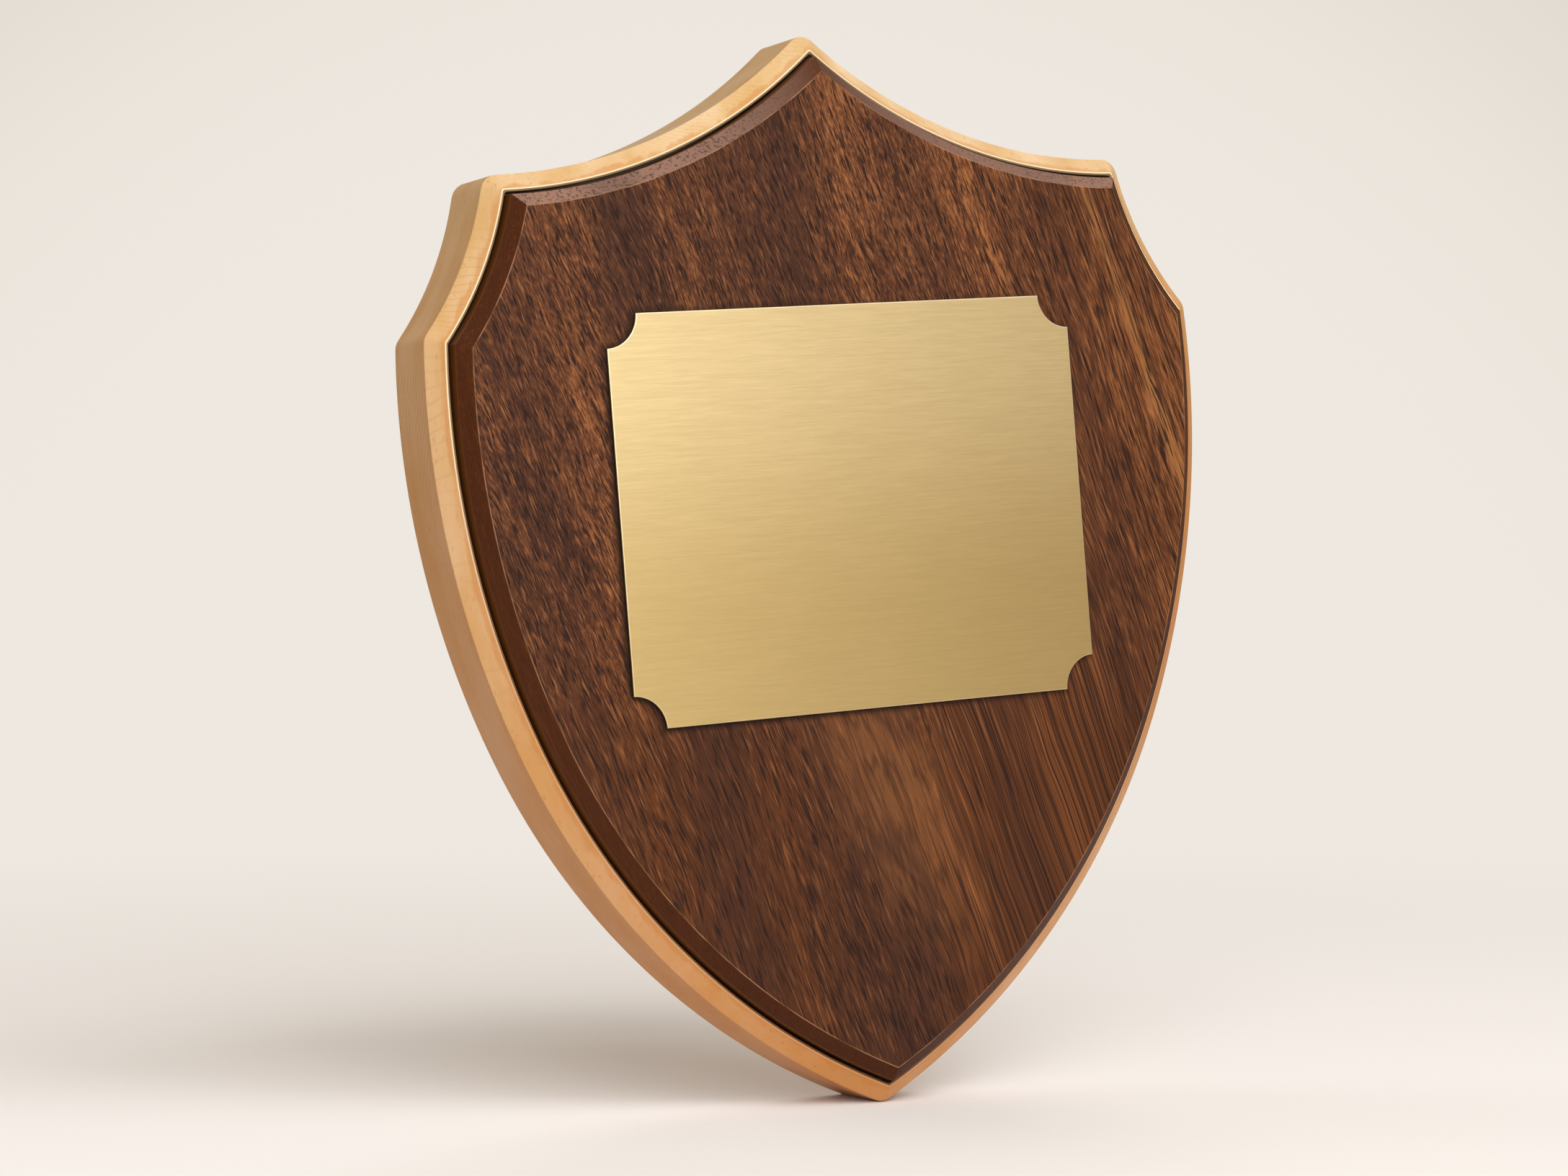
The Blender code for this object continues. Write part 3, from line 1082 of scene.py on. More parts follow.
        soft = add_node(tree, "ShaderNodeMapRange", [glow, *self.pore_glow])
        pore = self.pores.drawn(tree, grain)
        pore = add_node(tree, "ShaderNodeMapRange", [pore, *self.pore_edge, 0.0, soft])
        return [(vein, self.pore), (gleam, self.light), (pore, self.pore)]

    def _painted_plate_shadow(self, tree: Tree, place: Socket) -> list[Coat]:
        """Paints a dark shadow along the tablet's edge, widest on its left and below it.

        Args:
            tree: The material's tree.
            place: The Object coordinates.

        Returns:
            The coat.
        """
        off = add_node(tree, "ShaderNodeVectorMath", [place, self.tablet_centre], operation="SUBTRACT")
        flat = add_node(tree, "ShaderNodeVectorMath", [off, FLAT], operation="MULTIPLY")
        reach = add_node(tree, "ShaderNodeVectorMath", [flat], operation="ABSOLUTE")
        past = add_node(tree, "ShaderNodeVectorMath", [reach, self.tablet_half], operation="SUBTRACT")
        outside = add_node(tree, "ShaderNodeVectorMath", [past, (0.0, 0.0, 0.0)], operation="MAXIMUM")
        gap = add_node(tree, "ShaderNodeVectorMath", [outside], out=1, operation="LENGTH")
        # In a scoop the edge lies on a circle round the corner
        corner = add_node(tree, "ShaderNodeVectorMath", [past], out=1, operation="LENGTH")
        scoop = add_node(tree, "ShaderNodeMath", [self.scoop_radius, corner], operation="SUBTRACT")
        gap = add_node(tree, "ShaderNodeMath", [gap, scoop], operation="MAXIMUM")
        slant = add_node(tree, "ShaderNodeVectorMath", [flat, (1.0, 0.0, 1.0)], out=1,
                         operation="DOT_PRODUCT")
        depth = add_node(tree, "ShaderNodeMapRange", [slant, *self.plate_shadow_slant])
        near = add_node(tree, "ShaderNodeMapRange", [gap, *self.plate_shadow_edge],
                        interpolation_type="SMOOTHSTEP")
        # Painted shadow: darker close to the plate, most on its left and below it
        plate_shadow = add_node(tree, "ShaderNodeMath", [near, depth], operation="MULTIPLY")
        return [(plate_shadow, self.plate_shadow_colour)]

    def _cut_faces(self, tree: Tree, place: Socket, bands: Socket) -> list[Coat]:
        """Colours the chamfers, with a painted sheen on those that look up, and paints a glow on the walls
        and a highlight on the arris of the face.

        Args:
            tree: The material's tree.
            place: The Object coordinates.
            bands: How deep in a growth band each point lies.

        Returns:
            The coats.
        """
        # The cut chamfers drank more oil and went darker; the cut faces that look up, most those that also
        # look left, are painted paler and greyer, a painted sheen
        facing = self.facing(tree)
        cut = add_node(tree, "ShaderNodeMapRange", [facing[1], *self.cut_facing])
        most = add_node(tree, "ShaderNodeMapRange", [facing[0], *self.capped_across])
        capped = add_node(tree, "ShaderNodeMapRange", [facing[2], *self.capped_facing, 0.0, most])
        both = add_node(tree, "ShaderNodeMath", [capped, bands], operation="MULTIPLY")
        both = add_node(tree, "ShaderNodeMath", [both, self.capped_band], operation="MULTIPLY")
        specks = add_node(tree, "ShaderNodeTexNoise",
                          {"Vector": place, "Scale": 1 / self.speck_size, "Detail": 1.0})
        speck = add_node(tree, "ShaderNodeMapRange", [specks, *self.speck_edge])
        speck = add_node(tree, "ShaderNodeMath", [speck, capped], operation="MULTIPLY")

        # The wall beside the gap is painted amber, a painted glow of light thrown up from the maple, and
        # the face's arris gets a painted pale highlight
        inset = add_node(tree, "ShaderNodeAttribute", out=2, attribute_name=INSET)
        wall = add_node(tree, "ShaderNodeMapRange", [inset, *self.wall_glow_inset])
        arris = add_node(tree, "ShaderNodeMath", [inset, self.chamfer, self.arris_width],
                         operation="COMPARE")
        # Painted highlight: a noise breaks the arris line up
        touch = add_node(tree, "ShaderNodeTexNoise",
                         {"Vector": place, "Scale": self.highlight_breaks, "Detail": 1.0})
        uneven = add_node(tree, "ShaderNodeMapRange", [touch, *self.highlight_break_edge])
        face_arris_highlight = add_node(tree, "ShaderNodeMath", [arris, uneven], operation="MULTIPLY")
        return [
            (cut, self.soaked), (capped, self.up_facing_tone), (both, self.up_facing_band), (speck, self.speck),
            (wall, self.side), (face_arris_highlight, self.arris_highlight_tint),
        ]

    def material(self) -> bpy.types.Material:
        """Builds the finish.

        Returns:
            The material.
        """
        material, tree, shader = self.start()
        place = add_node(tree, "ShaderNodeTexCoord", out=3)
        grain = self._grain(tree, place)
        bands = self._bands(tree, place)
        fine = self.fine.drawn(tree, grain)
        mid = self.mid.drawn(tree, grain)
        flame = self.flame.measured(tree, place)
        glow = add_node(tree, "ShaderNodeMapRange", [flame, *self.flame_glow],
                        interpolation_type="SMOOTHSTEP")
        strokes = self._strokes(tree, place, grain, bands, glow)
        pore = strokes[-1][0]

        weighed = ((fine, self.fine_weight), (mid, self.mid_weight))
        colour = self.coated(tree, self._browns(tree, place, weighed, bands), [
            *self._ground(tree, place, bands),
            *self._stripe(tree, grain),
            (glow, self.golden),
            *self._rings(tree, place, flame, mid),
            *strokes,
            *self._painted_plate_shadow(tree, place),
            *self._cut_faces(tree, place, bands),
        ])
        height = add_node(tree, "ShaderNodeMath", [pore, -1.0, fine], operation="MULTIPLY_ADD")
        self.dress(tree, shader, colour, pore, height)
        shader["Specular IOR Level"].default_value = self.shine
        return material


@dataclass(frozen=True)
class OiledMaple(Finish):
    """Hard maple, sanded and oiled.

    To the eye: pale honey, close and even, with thin wavy figure and small brown flecks, painted darker and
    warmer towards the bottom, a wandering amber margin beside the arris, a painted highlight and shadow at
    the recess, and a soft satin shine.
    """

    name: str = "oiled hard maple"
    pale: str = "#D2B690"
    honey: str = "#C39E69"
    # Amber for the painted shade towards the foot, on the walls and on the right, and for the margin beside
    # the arris
    amber: str = "#B46C24"
    fleck: str = "#8A5C30"
    # Painted shade: greyer and darker on faces that look up
    up_facing_tone: str = "#A08A6A"
    # Painted highlight on the arris beside the recess
    highlight_cream: str = "#F2DDB4"
    # Painted shadow on the land beside the gap
    gap_shadow: str = "#4E2B12"

    # The thin rings cross the walls on a slant, wavy, clearest near the top and faint on the chamfer
    ring_slant: tuple[float, float, float] = (1.6, 1.7, 0.9)
    ring_pitch: float = 1.7 * MM
    ring_waves: float = 42.0
    ring_swing: float = 9.0
    ring_edge: Span = (0.50 * MM, 0.05 * MM)
    ring_height: Span = (-0.12, 0.0, 0.15, 0.50)
    ring_broken: Span = (0.42, 0.60, 0.15, 1.0)
    ring_facing: Span = (-0.6, -0.2, 0.40, 1.0)
    flecks: Marks = Marks(upright(0.9 * MM, 2.6 * MM))
    fleck_edge: Span = (0.62, 0.80, 0.0, 0.45)

    # Clouds of honey on the pale wood, and painted shade in amber towards the foot, on the walls and on the
    # right, and greyer on faces that look up
    clouds: Marks = Marks((80.0, 80.0, 22.0), 4.0)
    cloud_edge: Span = (0.32, 0.68)
    foot_height: Span = (0.06, -0.215, 0.0, 0.72)
    wall_height: Span = (0.03, -0.10, 0.16, 0.36)
    wall_facing: Span = (-0.5, -0.1)
    right_across: Span = (0.35, 0.60, 0.0, 0.65)
    right_facing: Span = (-0.3, -0.6)
    right_top: Span = (0.03, -0.02)
    right_foot: Span = (-0.17, -0.11)
    capped_facing: Span = (0.66, 0.95, 0.0, 0.30)

    # At the edges: a wandering amber margin, a painted highlight on the arris beside the recess and painted
    # shadow on the land behind it
    chamfer: float = 4.5 * MM
    margins: Marks = Marks((260.0, 260.0, 60.0))
    margin_wander: float = -4.0 * MM
    margin_edge: Span = (1.0 * MM, 1.8 * MM, 0.0, 0.42)
    inner_arris_highlight_edge: Span = (4.25 * MM, 4.5 * MM, 0.0, 0.85)
    inner_arris_highlight_height: Span = (-0.09, -0.02, 0.2, 1.0)
    gap_shadow_edge: Span = (4.6 * MM, 4.8 * MM, 0.0, 0.85)

    relief: float = 0.12
    relief_depth: float = 0.06 * MM
    roughened: Span = (0.3, 0.7, 0.40, 0.48)
    shine: float = 0.30

    def _marks(self, tree: Tree, place: Socket) -> list[Coat]:
        """Draws the thin wavy rings and the flecks.

        Args:
            tree: The material's tree.
            place: The Object coordinates.

        Returns:
            The coat.
        """
        slant = add_node(tree, "ShaderNodeVectorMath", [place, self.ring_slant], out=1,
                         operation="DOT_PRODUCT")
        wave = add_node(tree, "ShaderNodeTexNoise",
                        {"Vector": place, "Scale": self.ring_waves, "Detail": 1.5})
        slant = add_node(tree, "ShaderNodeMath", [wave, self.ring_swing * self.ring_pitch, slant],
                         operation="MULTIPLY_ADD")
        ring = add_node(tree, "ShaderNodeMath", [slant, self.ring_pitch], operation="PINGPONG")
        line = add_node(tree, "ShaderNodeMapRange", [ring, *self.ring_edge])
        height = add_node(tree, "ShaderNodeSeparateXYZ", [place]).node.outputs[2]
        clear = add_node(tree, "ShaderNodeMapRange", [height, *self.ring_height])
        broken = add_node(tree, "ShaderNodeMapRange", [wave, *self.ring_broken])
        clear = add_node(tree, "ShaderNodeMath", [clear, broken], operation="MULTIPLY")
        line = add_node(tree, "ShaderNodeMath", [line, clear], operation="MULTIPLY")
        faint = add_node(tree, "ShaderNodeMapRange", [self.facing(tree)[1], *self.ring_facing])
        line = add_node(tree, "ShaderNodeMath", [line, faint], operation="MULTIPLY")
        flecks = self.flecks.drawn(tree, place)
        fleck = add_node(tree, "ShaderNodeMapRange", [flecks, *self.fleck_edge])
        marks = add_node(tree, "ShaderNodeMath", [line, fleck], operation="MAXIMUM")
        return [(marks, self.fleck)]

    def _painted_shade(self, tree: Tree, height: Socket) -> list[Coat]:
        """Lays painted shade: darker amber towards the foot, on the walls and on the right-hand chamfer,
        and greyer, darker faces that look up.

        Args:
            tree: The material's tree.
            height: How high each point lies.

        Returns:
            The coats.
        """
        facing = self.facing(tree)
        # Painted shade: amber towards the foot, on the lower walls and on the right-hand chamfer
        foot = add_node(tree, "ShaderNodeMapRange", [height, *self.foot_height])
        lower = add_node(tree, "ShaderNodeMapRange", [height, *self.wall_height])
        wall = add_node(tree, "ShaderNodeMapRange", [facing[1], *self.wall_facing, 0.0, lower])
        right = add_node(tree, "ShaderNodeMapRange", [facing[0], *self.right_across])
        for value, span in (
            (facing[1], self.right_facing), (height, self.right_top), (height, self.right_foot),
        ):
            within = add_node(tree, "ShaderNodeMapRange", [value, *span])
            right = add_node(tree, "ShaderNodeMath", [right, within], operation="MULTIPLY")
        capped = add_node(tree, "ShaderNodeMapRange", [facing[2], *self.capped_facing])
        return [(foot, self.amber), (wall, self.amber), (right, self.amber), (capped, self.up_facing_tone)]

    def _edges(self, tree: Tree, place: Socket, height: Socket) -> list[Coat]:
        """Colours the amber margin, and paints a highlight on the arris beside the recess and shadow on the
        land behind it.

        Args:
            tree: The material's tree.
            place: The Object coordinates.
            height: How high each point lies.

        Returns:
            The coats.
        """
        inset = add_node(tree, "ShaderNodeAttribute", out=2, attribute_name=INSET)
        edge = self.margins.drawn(tree, place)
        edge = add_node(tree, "ShaderNodeMath", [edge, self.margin_wander, inset],
                        operation="MULTIPLY_ADD")
        margin = add_node(tree, "ShaderNodeMapRange", [edge, *self.margin_edge])
        # Painted highlight: cream on the arris, fading lower down
        inner_arris_highlight = add_node(tree, "ShaderNodeMapRange", [inset, *self.inner_arris_highlight_edge])
        upper = add_node(tree, "ShaderNodeMapRange", [height, *self.inner_arris_highlight_height])
        inner_arris_highlight = add_node(tree, "ShaderNodeMath", [inner_arris_highlight, upper], operation="MULTIPLY")
        # Painted shadow: the land darkens towards the walnut
        gap_shadow = add_node(tree, "ShaderNodeMapRange", [inset, *self.gap_shadow_edge])
        return [(margin, self.amber), (inner_arris_highlight, self.highlight_cream), (gap_shadow, self.gap_shadow)]

    def material(self) -> bpy.types.Material:
        """Builds the finish.

        Returns:
            The material.
        """
        material, tree, shader = self.start()
        place = add_node(tree, "ShaderNodeTexCoord", out=3)
        height = add_node(tree, "ShaderNodeSeparateXYZ", [place]).node.outputs[2]
        clouds = self.clouds.drawn(tree, place)
        honey = add_node(tree, "ShaderNodeMapRange", [clouds, *self.cloud_edge])
        colour = self.coated(tree, linear(self.pale), [
            (honey, self.honey),
            *self._painted_shade(tree, height),
            *self._marks(tree, place),
            *self._edges(tree, place, height),
        ])
        self.dress(tree, shader, colour, clouds, clouds)
        shader["Specular IOR Level"].default_value = self.shine
        return material


@dataclass(frozen=True)
class BrushedBrass(Finish):
    """Sheet brass, brushed along its length and lacquered.

    To the eye: pale champagne gold with fine level scratches that smear the light sideways, under a thin
    clear lacquer. The scratches are drawn a little coarser than real ones, or they would not show.
    """

    name: str = "brushed sheet brass"
    metal: str = "#C8AB6D"
    # Painted sheen, paler towards the top
    upper_sheen: str = "#E6CE98"
    scratched: str = "#A0834A"
    # Painted highlight on the plate's arris
    edge_highlight: str = "#FAEBC4"
    # The plate's thin side wall is coloured darker
    dark_side_tint: str = "#6F5A34"
    scratches: Marks = Marks(level(0.30 * MM, 7.0 * MM), 3.0, 0.6)
    patches: Marks = Marks(level(0.8 * MM, 16.0 * MM), 2.0, 0.6)

    # Painted sheen: paler towards the top; the arris gets a painted highlight, paler higher up, and the
    # side is darker
    upper_sheen_height: Span = (-0.09, -0.005, 0.0, 0.9)
    scratch_edge: Span = (1.25, 0.78, 0.0, 0.20)
    edge_highlight_height: Span = (-0.10, -0.01, 0.30, 0.85)
    edge_highlight_inset: Span = (0.40 * MM, 0.30 * MM)
    side_inset: Span = (0.06 * MM, 0.02 * MM, 0.0, 0.9)

    relief: float = 0.03
    relief_depth: float = 0.02 * MM
    roughened: Span = (0.38, 0.62, 0.37, 0.35)
    lacquer_roughness: float = 0.34

    def material(self) -> bpy.types.Material:
        """Builds the finish.

        Returns:
            The material.
        """
        material, tree, shader = self.start()
        place = add_node(tree, "ShaderNodeTexCoord", out=3)
        height = add_node(tree, "ShaderNodeSeparateXYZ", [place]).node.outputs[2]
        inset = add_node(tree, "ShaderNodeAttribute", out=2, attribute_name=INSET)
        scratches = self.scratches.drawn(tree, place)
        patches = self.patches.drawn(tree, place)
        # Painted sheen: the plate paler towards the top
        kept = add_node(tree, "ShaderNodeMapRange", [height, *self.upper_sheen_height],
                        interpolation_type="SMOOTHSTEP")
        both = add_node(tree, "ShaderNodeMath", [scratches, patches], operation="ADD")
        dark = add_node(tree, "ShaderNodeMapRange", [both, *self.scratch_edge])
        # Painted highlight along the arris, brighter higher up
        bright = add_node(tree, "ShaderNodeMapRange", [height, *self.edge_highlight_height])
        arris = add_node(tree, "ShaderNodeMapRange", [inset, *self.edge_highlight_inset, 0.0, bright])
        side = add_node(tree, "ShaderNodeMapRange", [inset, *self.side_inset])
        colour = self.coated(tree, linear(self.metal), [
            (kept, self.upper_sheen), (dark, self.scratched), (arris, self.edge_highlight), (side, self.dark_side_tint),
        ])
        self.dress(tree, shader, colour, scratches, scratches)
        shader["Metallic"].default_value = 1.0
        shader["Coat Weight"].default_value = 1.0
        shader["Coat Roughness"].default_value = self.lacquer_roughness
        return material


@dataclass(frozen=True)
class PaintedFloor(Finish):
    """A pale matt studio floor that runs out into the backdrop's own colour far behind the object."""

    name: str = "painted studio floor"
    paint: str = "#E6E5E5"
    far: str = "#EEE8E0"
    fade: Span = (0.28, 1.05)
    roughness: float = 0.9
    shine: float = 0.1

    def material(self) -> bpy.types.Material:
        """Builds the finish.

        Returns:
            The material.
        """
        material, tree, shader = self.start()
        shader["Base Color"].default_value = linear(self.paint)
        shader["Roughness"].default_value = self.roughness
        shader["Specular IOR Level"].default_value = self.shine
        place = add_node(tree, "ShaderNodeTexCoord", out=3)
        away = add_node(tree, "ShaderNodeVectorMath", [place], out=1, operation="LENGTH")
        fade = add_node(tree, "ShaderNodeMapRange", [away, *self.fade], interpolation_type="SMOOTHSTEP")
        # To the lens the far floor is the backdrop, and to the object it is as dim as the room
        seen = add_node(tree, "ShaderNodeLightPath")
        power = add_node(tree, "ShaderNodeMapRange", [seen, *ROOM_POWER])
        glow = add_node(tree, "ShaderNodeEmission", {"Color": linear(self.far), "Strength": power})
        paint = shader["Base Color"].node.outputs[0]
        mixed = add_node(tree, "ShaderNodeMixShader", [fade, paint, glow])
        leave = next(node for node in tree.nodes if node.type == "OUTPUT_MATERIAL")
        tree.links.new(mixed, leave.inputs["Surface"])
        return material


@dataclass
class KeyholeSlot:
    """The hanging slot in the board's back: a round entry, a wide way for the head, a narrow neck."""

    entry_height: float = 0.0140
    run: float = 0.0120
    entry_width: float = 0.0104
    head_width: float = 0.0096
    neck_width: float = 0.0052
    lip: float = 0.0040
    head_depth: float = 0.0100
    entry_depth: float = 0.0104
    steps: int = 24
    overcut: float = 0.0020

    def _cutter(self, name: str, width: float, run: float, near: float, deep: float) -> bpy.types.Object:
        """Makes a solid slot with round ends.

        Args:
            name: The cutter's name.
            width: The slot's width.
            run: How far its upper end is above its lower one.
            near: The height above the wall, downwards into the board, where it starts.
            deep: Where it ends.

        Returns:
            The cutter.
        """
        # Without a run the two halves make one circle, and each starts where the other ends
        steps = range(self.steps + 1 if run else self.steps)
        ring = []
        for start, rise in ((0.0, run), (math.pi, 0.0)):
            for step in steps:
                angle = start + math.pi * step / self.steps
                ring.append((width / 2 * math.cos(angle), width / 2 * math.sin(angle) + rise))
        points = [(x, -depth, z + self.entry_height) for depth in (deep, near) for x, z in ring]
        count = len(ring)
        following = [(number + 1) % count for number in range(count)]
        sides = [(after, number, number + count, after + count) for number, after in enumerate(following)]
        floor = tuple(range(count))
        roof = tuple(reversed(range(count, 2 * count)))
        mesh = bpy.data.meshes.new(name)
        mesh.from_pydata(points, [], [*sides, floor, roof])
        cutter = bpy.data.objects.new(name, mesh)
        bpy.context.scene.collection.objects.link(cutter)
        return cutter

    def cut(self, board: bpy.types.Object) -> None:
        """Cuts the slot in a board's back.

        Args:
            board: The board, a closed mesh.
        """
        cutters = [
            self._cutter("slot entry", self.entry_width, 0.0, -self.overcut, self.entry_depth),
            self._cutter("slot head way", self.head_width, self.run, self.lip, self.head_depth),
            self._cutter("slot neck", self.neck_width, self.run, -self.overcut, self.lip + self.overcut),
        ]
        for cutter in cutters:
            cut = board.modifiers.new(cutter.name, "BOOLEAN")
            cut.operation = "DIFFERENCE"
            cut.solver = "EXACT"
            cut.object = cutter
        plain(board)
        for cutter in cutters:
            bpy.data.objects.remove(cutter)
        # The cutters carry no finish, so the board's own is laid over every face again
        finish = next(material for material in board.data.materials if material)
        board.data.materials.clear()
        board.data.materials.append(finish)


def even_shading(piece: bpy.types.Object) -> None:
    """Lets the wide faces keep their own flat shading, so that the light turns only on the arrises.

    Args:
        piece: The piece, a smooth mesh with its corners marked sharp.
    """
    weighted = piece.modifiers.new("even shading", "WEIGHTED_NORMAL")
    weighted.keep_sharp = True
    plain(piece)


@dataclass
class Backboard:
    """The maple board behind: chamfered at the front, recessed for the walnut, slotted at the back."""

    outline: ShieldOutline
    tip_height: float = 0.080
    trim: float = 0.00003
    corner_radius: float = 0.0050
    chamfered_radius: float = 0.0005
    recess_radius: float = 0.0010
    profile: Profile = Profile(
        back=0.0, front=0.025, chamfer=0.0045, land=0.0008, recess=0.0060,
        back_arris=0.0006, wall_arris=0.0007, face_arris=0.0002, land_arris=0.00025,
    )
    slot: KeyholeSlot = field(default_factory=KeyholeSlot)

    def build(self, moulding: MitredMoulding, finish: Finish) -> bpy.types.Object:
        """Makes the board.

        Args:
            moulding: The tree that runs its profile.
            finish: Its finish.

        Returns:
            The board.
        """
        inset = self.profile.chamfer
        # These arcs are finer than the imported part's and would stand past its chords, so they are trimmed
        outline = outline_mesh(
            "board outline",
            self.outline.points(self.trim, self.corner_radius),
            self.outline.points(inset, self.chamfered_radius),
            inset,
            self.outline.points(inset + self.profile.land, self.recess_radius),
            self.profile.land,
        )
        board = moulding.run("maple_moulding", outline, self.profile, self.tip_height, finish.material())
        self.slot.cut(board)
        even_shading(board)
        return board


@dataclass
class Field:
    """The raised walnut field, the same shield set in, with sharp mitres."""

    outline: ShieldOutline
    tip_height: float = 0.080
    inset: float = 0.0062
    profile: Profile = Profile(
        back=0.0193, front=0.0312, chamfer=0.0036, land=0.0010,
        back_arris=0.0003, wall_arris=0.0003, face_arris=0.0002,
    )

    def build(self, moulding: MitredMoulding, finish: Finish) -> bpy.types.Object:
        """Makes the field.

        Args:
            moulding: The tree that runs its profile.
            finish: Its finish.

        Returns:
            The field.
        """
        chamfer = self.profile.chamfer
        outline = outline_mesh("field outline", self.outline.points(self.inset, 0.0),
                               self.outline.points(self.inset + chamfer, 0.0), chamfer)
        piece = moulding.run("walnut_field", outline, self.profile, self.tip_height, finish.material())
        even_shading(piece)
        return piece


@dataclass
class Tablet:
    """The blank brass plate with scooped corners."""

    outline: TabletOutline = field(default_factory=TabletOutline)
    centre_height: float = -0.0557
    profile: Profile = Profile(
        back=0.0315, front=0.0325, chamfer=0.0002, land=0.0006,
        back_arris=0.0, wall_arris=0.0001, face_arris=0.0001,
    )

    def build(self, moulding: MitredMoulding, finish: Finish) -> bpy.types.Object:
        """Makes the plate.

        Args:
            moulding: The tree that runs its profile.
            finish: Its finish.

        Returns:
            The plate.
        """
        chamfer = self.profile.chamfer
        outline = outline_mesh("tablet outline", self.outline.points(0.0), self.outline.points(chamfer),
                               chamfer)
        piece = moulding.run("brass_tablet", outline, self.profile, self.centre_height, finish.material())
        even_shading(piece)
        return piece


class Softbox(Enum):
    """The lamps: degrees right of straight ahead, degrees up, metres off, and share of the light."""

    HIGH_LEFT = (-20.0, 40.0, 3.6, 0.32)
    HIGH_FRONT = (9.0, 40.0, 3.6, 0.28)
    HIGH_RIGHT = (32.0, 40.0, 3.6, 0.30)
    LOW_LEFT = (-20.0, 8.0, 1.8, 0.50)
    LOW_FRONT = (8.0, 8.0, 1.8, 0.17)
    BACK_LEFT = (-140.0, 40.0, 3.6, 0.13)
    BACK_RIGHT = (140.0, 40.0, 3.6, 0.20)


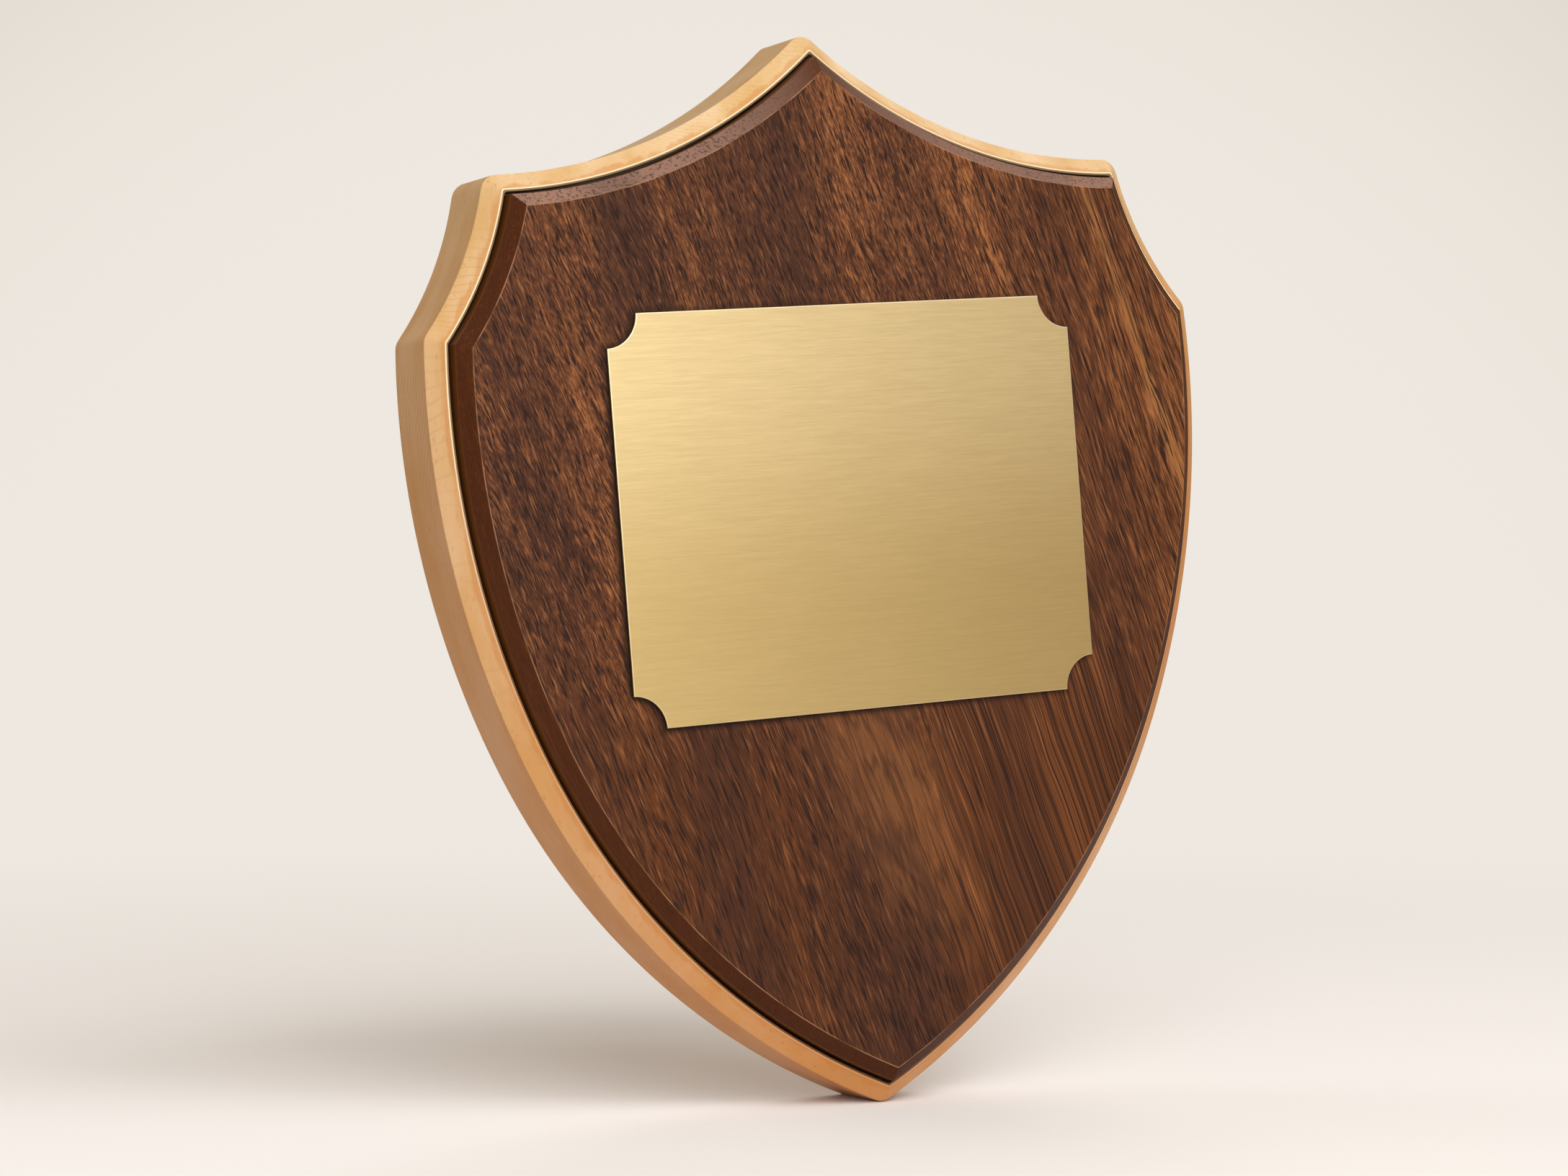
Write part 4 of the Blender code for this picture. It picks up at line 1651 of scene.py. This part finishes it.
@dataclass
class Studio:
    """The floor, the backdrop's light, the lamps and the camera."""

    floor_height: float
    floor_radius: float = 12.0
    tip_radius: float = 0.005
    tip_depth: float = -0.0125
    floor_sides: int = 96
    backdrop: str = "#EEE8E0"
    corner: str = "#C4B8A8"
    room: str = "#F2DABA"
    pool_azimuth: float = 27.0
    pool_dip: float = 6.0
    pool_near: float = math.radians(11.5)
    pool_far: float = math.radians(26.0)
    pool_back: float = math.radians(45.0)
    lamp_aim: tuple[float, float, float] = (0.0, 0.0, -0.07)
    lamp_spread: float = 0.55
    aim: tuple[float, float, float] = (-0.0081, 0.0, -0.0772)
    distance: float = 1.1385
    azimuth: float = 27.96
    dip: float = 0.41
    roll: float = -4.43
    lens: float = 90.99
    sensor: float = 36.0

    def build(self) -> None:
        """Sets the stage."""
        scene = bpy.context.scene
        scene.view_settings.view_transform = "Standard"
        self._floor()
        self._world()
        for lamp in Softbox:
            self._softbox(lamp)
        self._camera()

    def _lean(self) -> Matrix:
        """The turn about the line of sight by which the plaque leans on its tip in the picture."""
        return Matrix.Rotation(-math.radians(self.roll), 4, self._ahead())

    def _ahead(self) -> Vector:
        """Turns the camera's angles into a direction.

        Returns:
            The way that the camera looks.
        """
        azimuth = math.radians(self.azimuth)
        dip = math.radians(self.dip)
        return Vector((math.sin(azimuth) * math.cos(dip), math.cos(azimuth) * math.cos(dip),
                       -math.sin(dip)))

    def _floor(self) -> None:
        """Lays the floor under the tip, level in the picture, so that the plaque leans on it a little."""
        lean = self._lean()
        up = lean @ Vector((0.0, 0.0, 1.0))
        touch = Vector((0.0, self.tip_depth, self.floor_height + self.tip_radius)) - self.tip_radius * up
        work = bmesh.new()
        bmesh.ops.create_circle(work, cap_ends=True, segments=self.floor_sides, radius=self.floor_radius)
        bmesh.ops.transform(work, matrix=Matrix.Translation(touch) @ lean, verts=work.verts)
        mesh = bpy.data.meshes.new("floor")
        work.to_mesh(mesh)
        work.free()
        mesh.materials.append(PaintedFloor().material())
        floor = bpy.data.objects.new("floor", mesh)
        bpy.context.scene.collection.objects.link(floor)
        floor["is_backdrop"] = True

    def _world(self) -> None:
        """Surrounds the object with a pale backdrop, which lights it less than it shows."""
        world = bpy.data.worlds.new("pale studio")
        world.use_nodes = True
        bpy.context.scene.world = world
        tree = world.node_tree
        background = next(node for node in tree.nodes if node.type == "BACKGROUND")
        # The backdrop is palest behind the object, falls off softly towards the picture's corners and
        # is pale again all round, so that the floor has no horizon from another side
        toward = add_node(tree, "ShaderNodeTexCoord")
        turn = math.radians(self.pool_azimuth)
        dip = math.radians(self.pool_dip)
        middle = (math.sin(turn) * math.cos(dip), math.cos(turn) * math.cos(dip), -math.sin(dip))
        straight = add_node(tree, "ShaderNodeVectorMath", [toward, middle], out=1,
                            operation="DOT_PRODUCT")
        pool = add_node(tree, "ShaderNodeMapRange",
                        [straight, math.cos(self.pool_far), math.cos(self.pool_near)],
                        interpolation_type="SMOOTHSTEP")
        beyond = add_node(tree, "ShaderNodeMapRange",
                          [straight, math.cos(self.pool_far), math.cos(self.pool_back)],
                          interpolation_type="SMOOTHSTEP")
        pool = add_node(tree, "ShaderNodeMath", [pool, beyond], operation="MAXIMUM")
        shown = add_node(tree, "ShaderNodeMix", {
            "Factor_Float": pool, "A_Color": linear(self.corner), "B_Color": linear(self.backdrop),
        }, out=2, data_type="RGBA")
        seen = add_node(tree, "ShaderNodeLightPath")
        colour = add_node(tree, "ShaderNodeMix", {
            "Factor_Float": seen, "A_Color": linear(self.room), "B_Color": shown,
        }, out=2, data_type="RGBA")
        power = add_node(tree, "ShaderNodeMapRange", [seen, *ROOM_POWER])
        tree.links.new(colour, background.inputs["Color"])
        tree.links.new(power, background.inputs["Strength"])

    def _softbox(self, lamp: Softbox) -> None:
        """Hangs one square lamp round the object and turns it inwards.

        Args:
            lamp: Which one.
        """
        azimuth, elevation, distance, share = lamp.value
        turn = math.radians(azimuth)
        lift = math.radians(elevation)
        out = Vector((math.sin(turn) * math.cos(lift), -math.cos(turn) * math.cos(lift), math.sin(lift)))
        light = bpy.data.lights.new(lamp.name.lower(), "AREA")
        light.shape = "SQUARE"
        light.size = self.lamp_spread * distance
        # A share of 1 lights a white card that faces the lamp to full white
        light.energy = share * math.pi ** 2 * distance ** 2
        holder = bpy.data.objects.new(light.name, light)
        spot = Vector(self.lamp_aim) + out * distance
        turned = (-out).to_track_quat("-Z", "Y").to_matrix().to_4x4()
        holder.matrix_world = Matrix.Translation(spot) @ turned
        holder.visible_camera = False
        bpy.context.scene.collection.objects.link(holder)

    def _camera(self) -> None:
        """Stands the camera at the photograph's viewing angle."""
        ahead = self._ahead()
        level = ahead.cross(Vector((0.0, 0.0, 1.0))).normalized()
        right = self._lean().to_3x3() @ level
        up = right.cross(ahead)
        data = bpy.data.cameras.new("camera")
        data.lens = self.lens
        data.sensor_width = self.sensor
        camera = bpy.data.objects.new("camera", data)
        frame = Matrix((right, up, -ahead)).transposed().to_4x4()
        camera.matrix_world = Matrix.Translation(Vector(self.aim) - self.distance * ahead) @ frame
        bpy.context.scene.collection.objects.link(camera)
        bpy.context.scene.camera = camera


def main() -> None:
    """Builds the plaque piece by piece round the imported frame, then the studio."""
    logging.basicConfig(level=logging.INFO, format="%(name)s: %(message)s")
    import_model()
    cad_box = [list(corner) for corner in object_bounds()]
    moulding = MitredMoulding()
    shield = ShieldOutline()
    plan = (
        (Backboard(shield), OiledMaple(), "maple_backboard", "maple"),
        (Field(shield), OiledWalnut(), "walnut_panel", "walnut"),
        (Tablet(), BrushedBrass(), "brass_plate", "brass"),
    )
    for part, finish, node, slot in plan:
        piece = part.build(moulding, finish)
        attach(piece, BODY)
        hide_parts(node)
        LOG.info("%s: %s, %d faces", piece.name, finish.name, len(piece.data.polygons))
    bpy.data.node_groups.remove(moulding.tree)
    Studio(floor_height=cad_box[0][2]).build()
    LOG.info("sizes written")


if __name__ == "__main__":
    main()
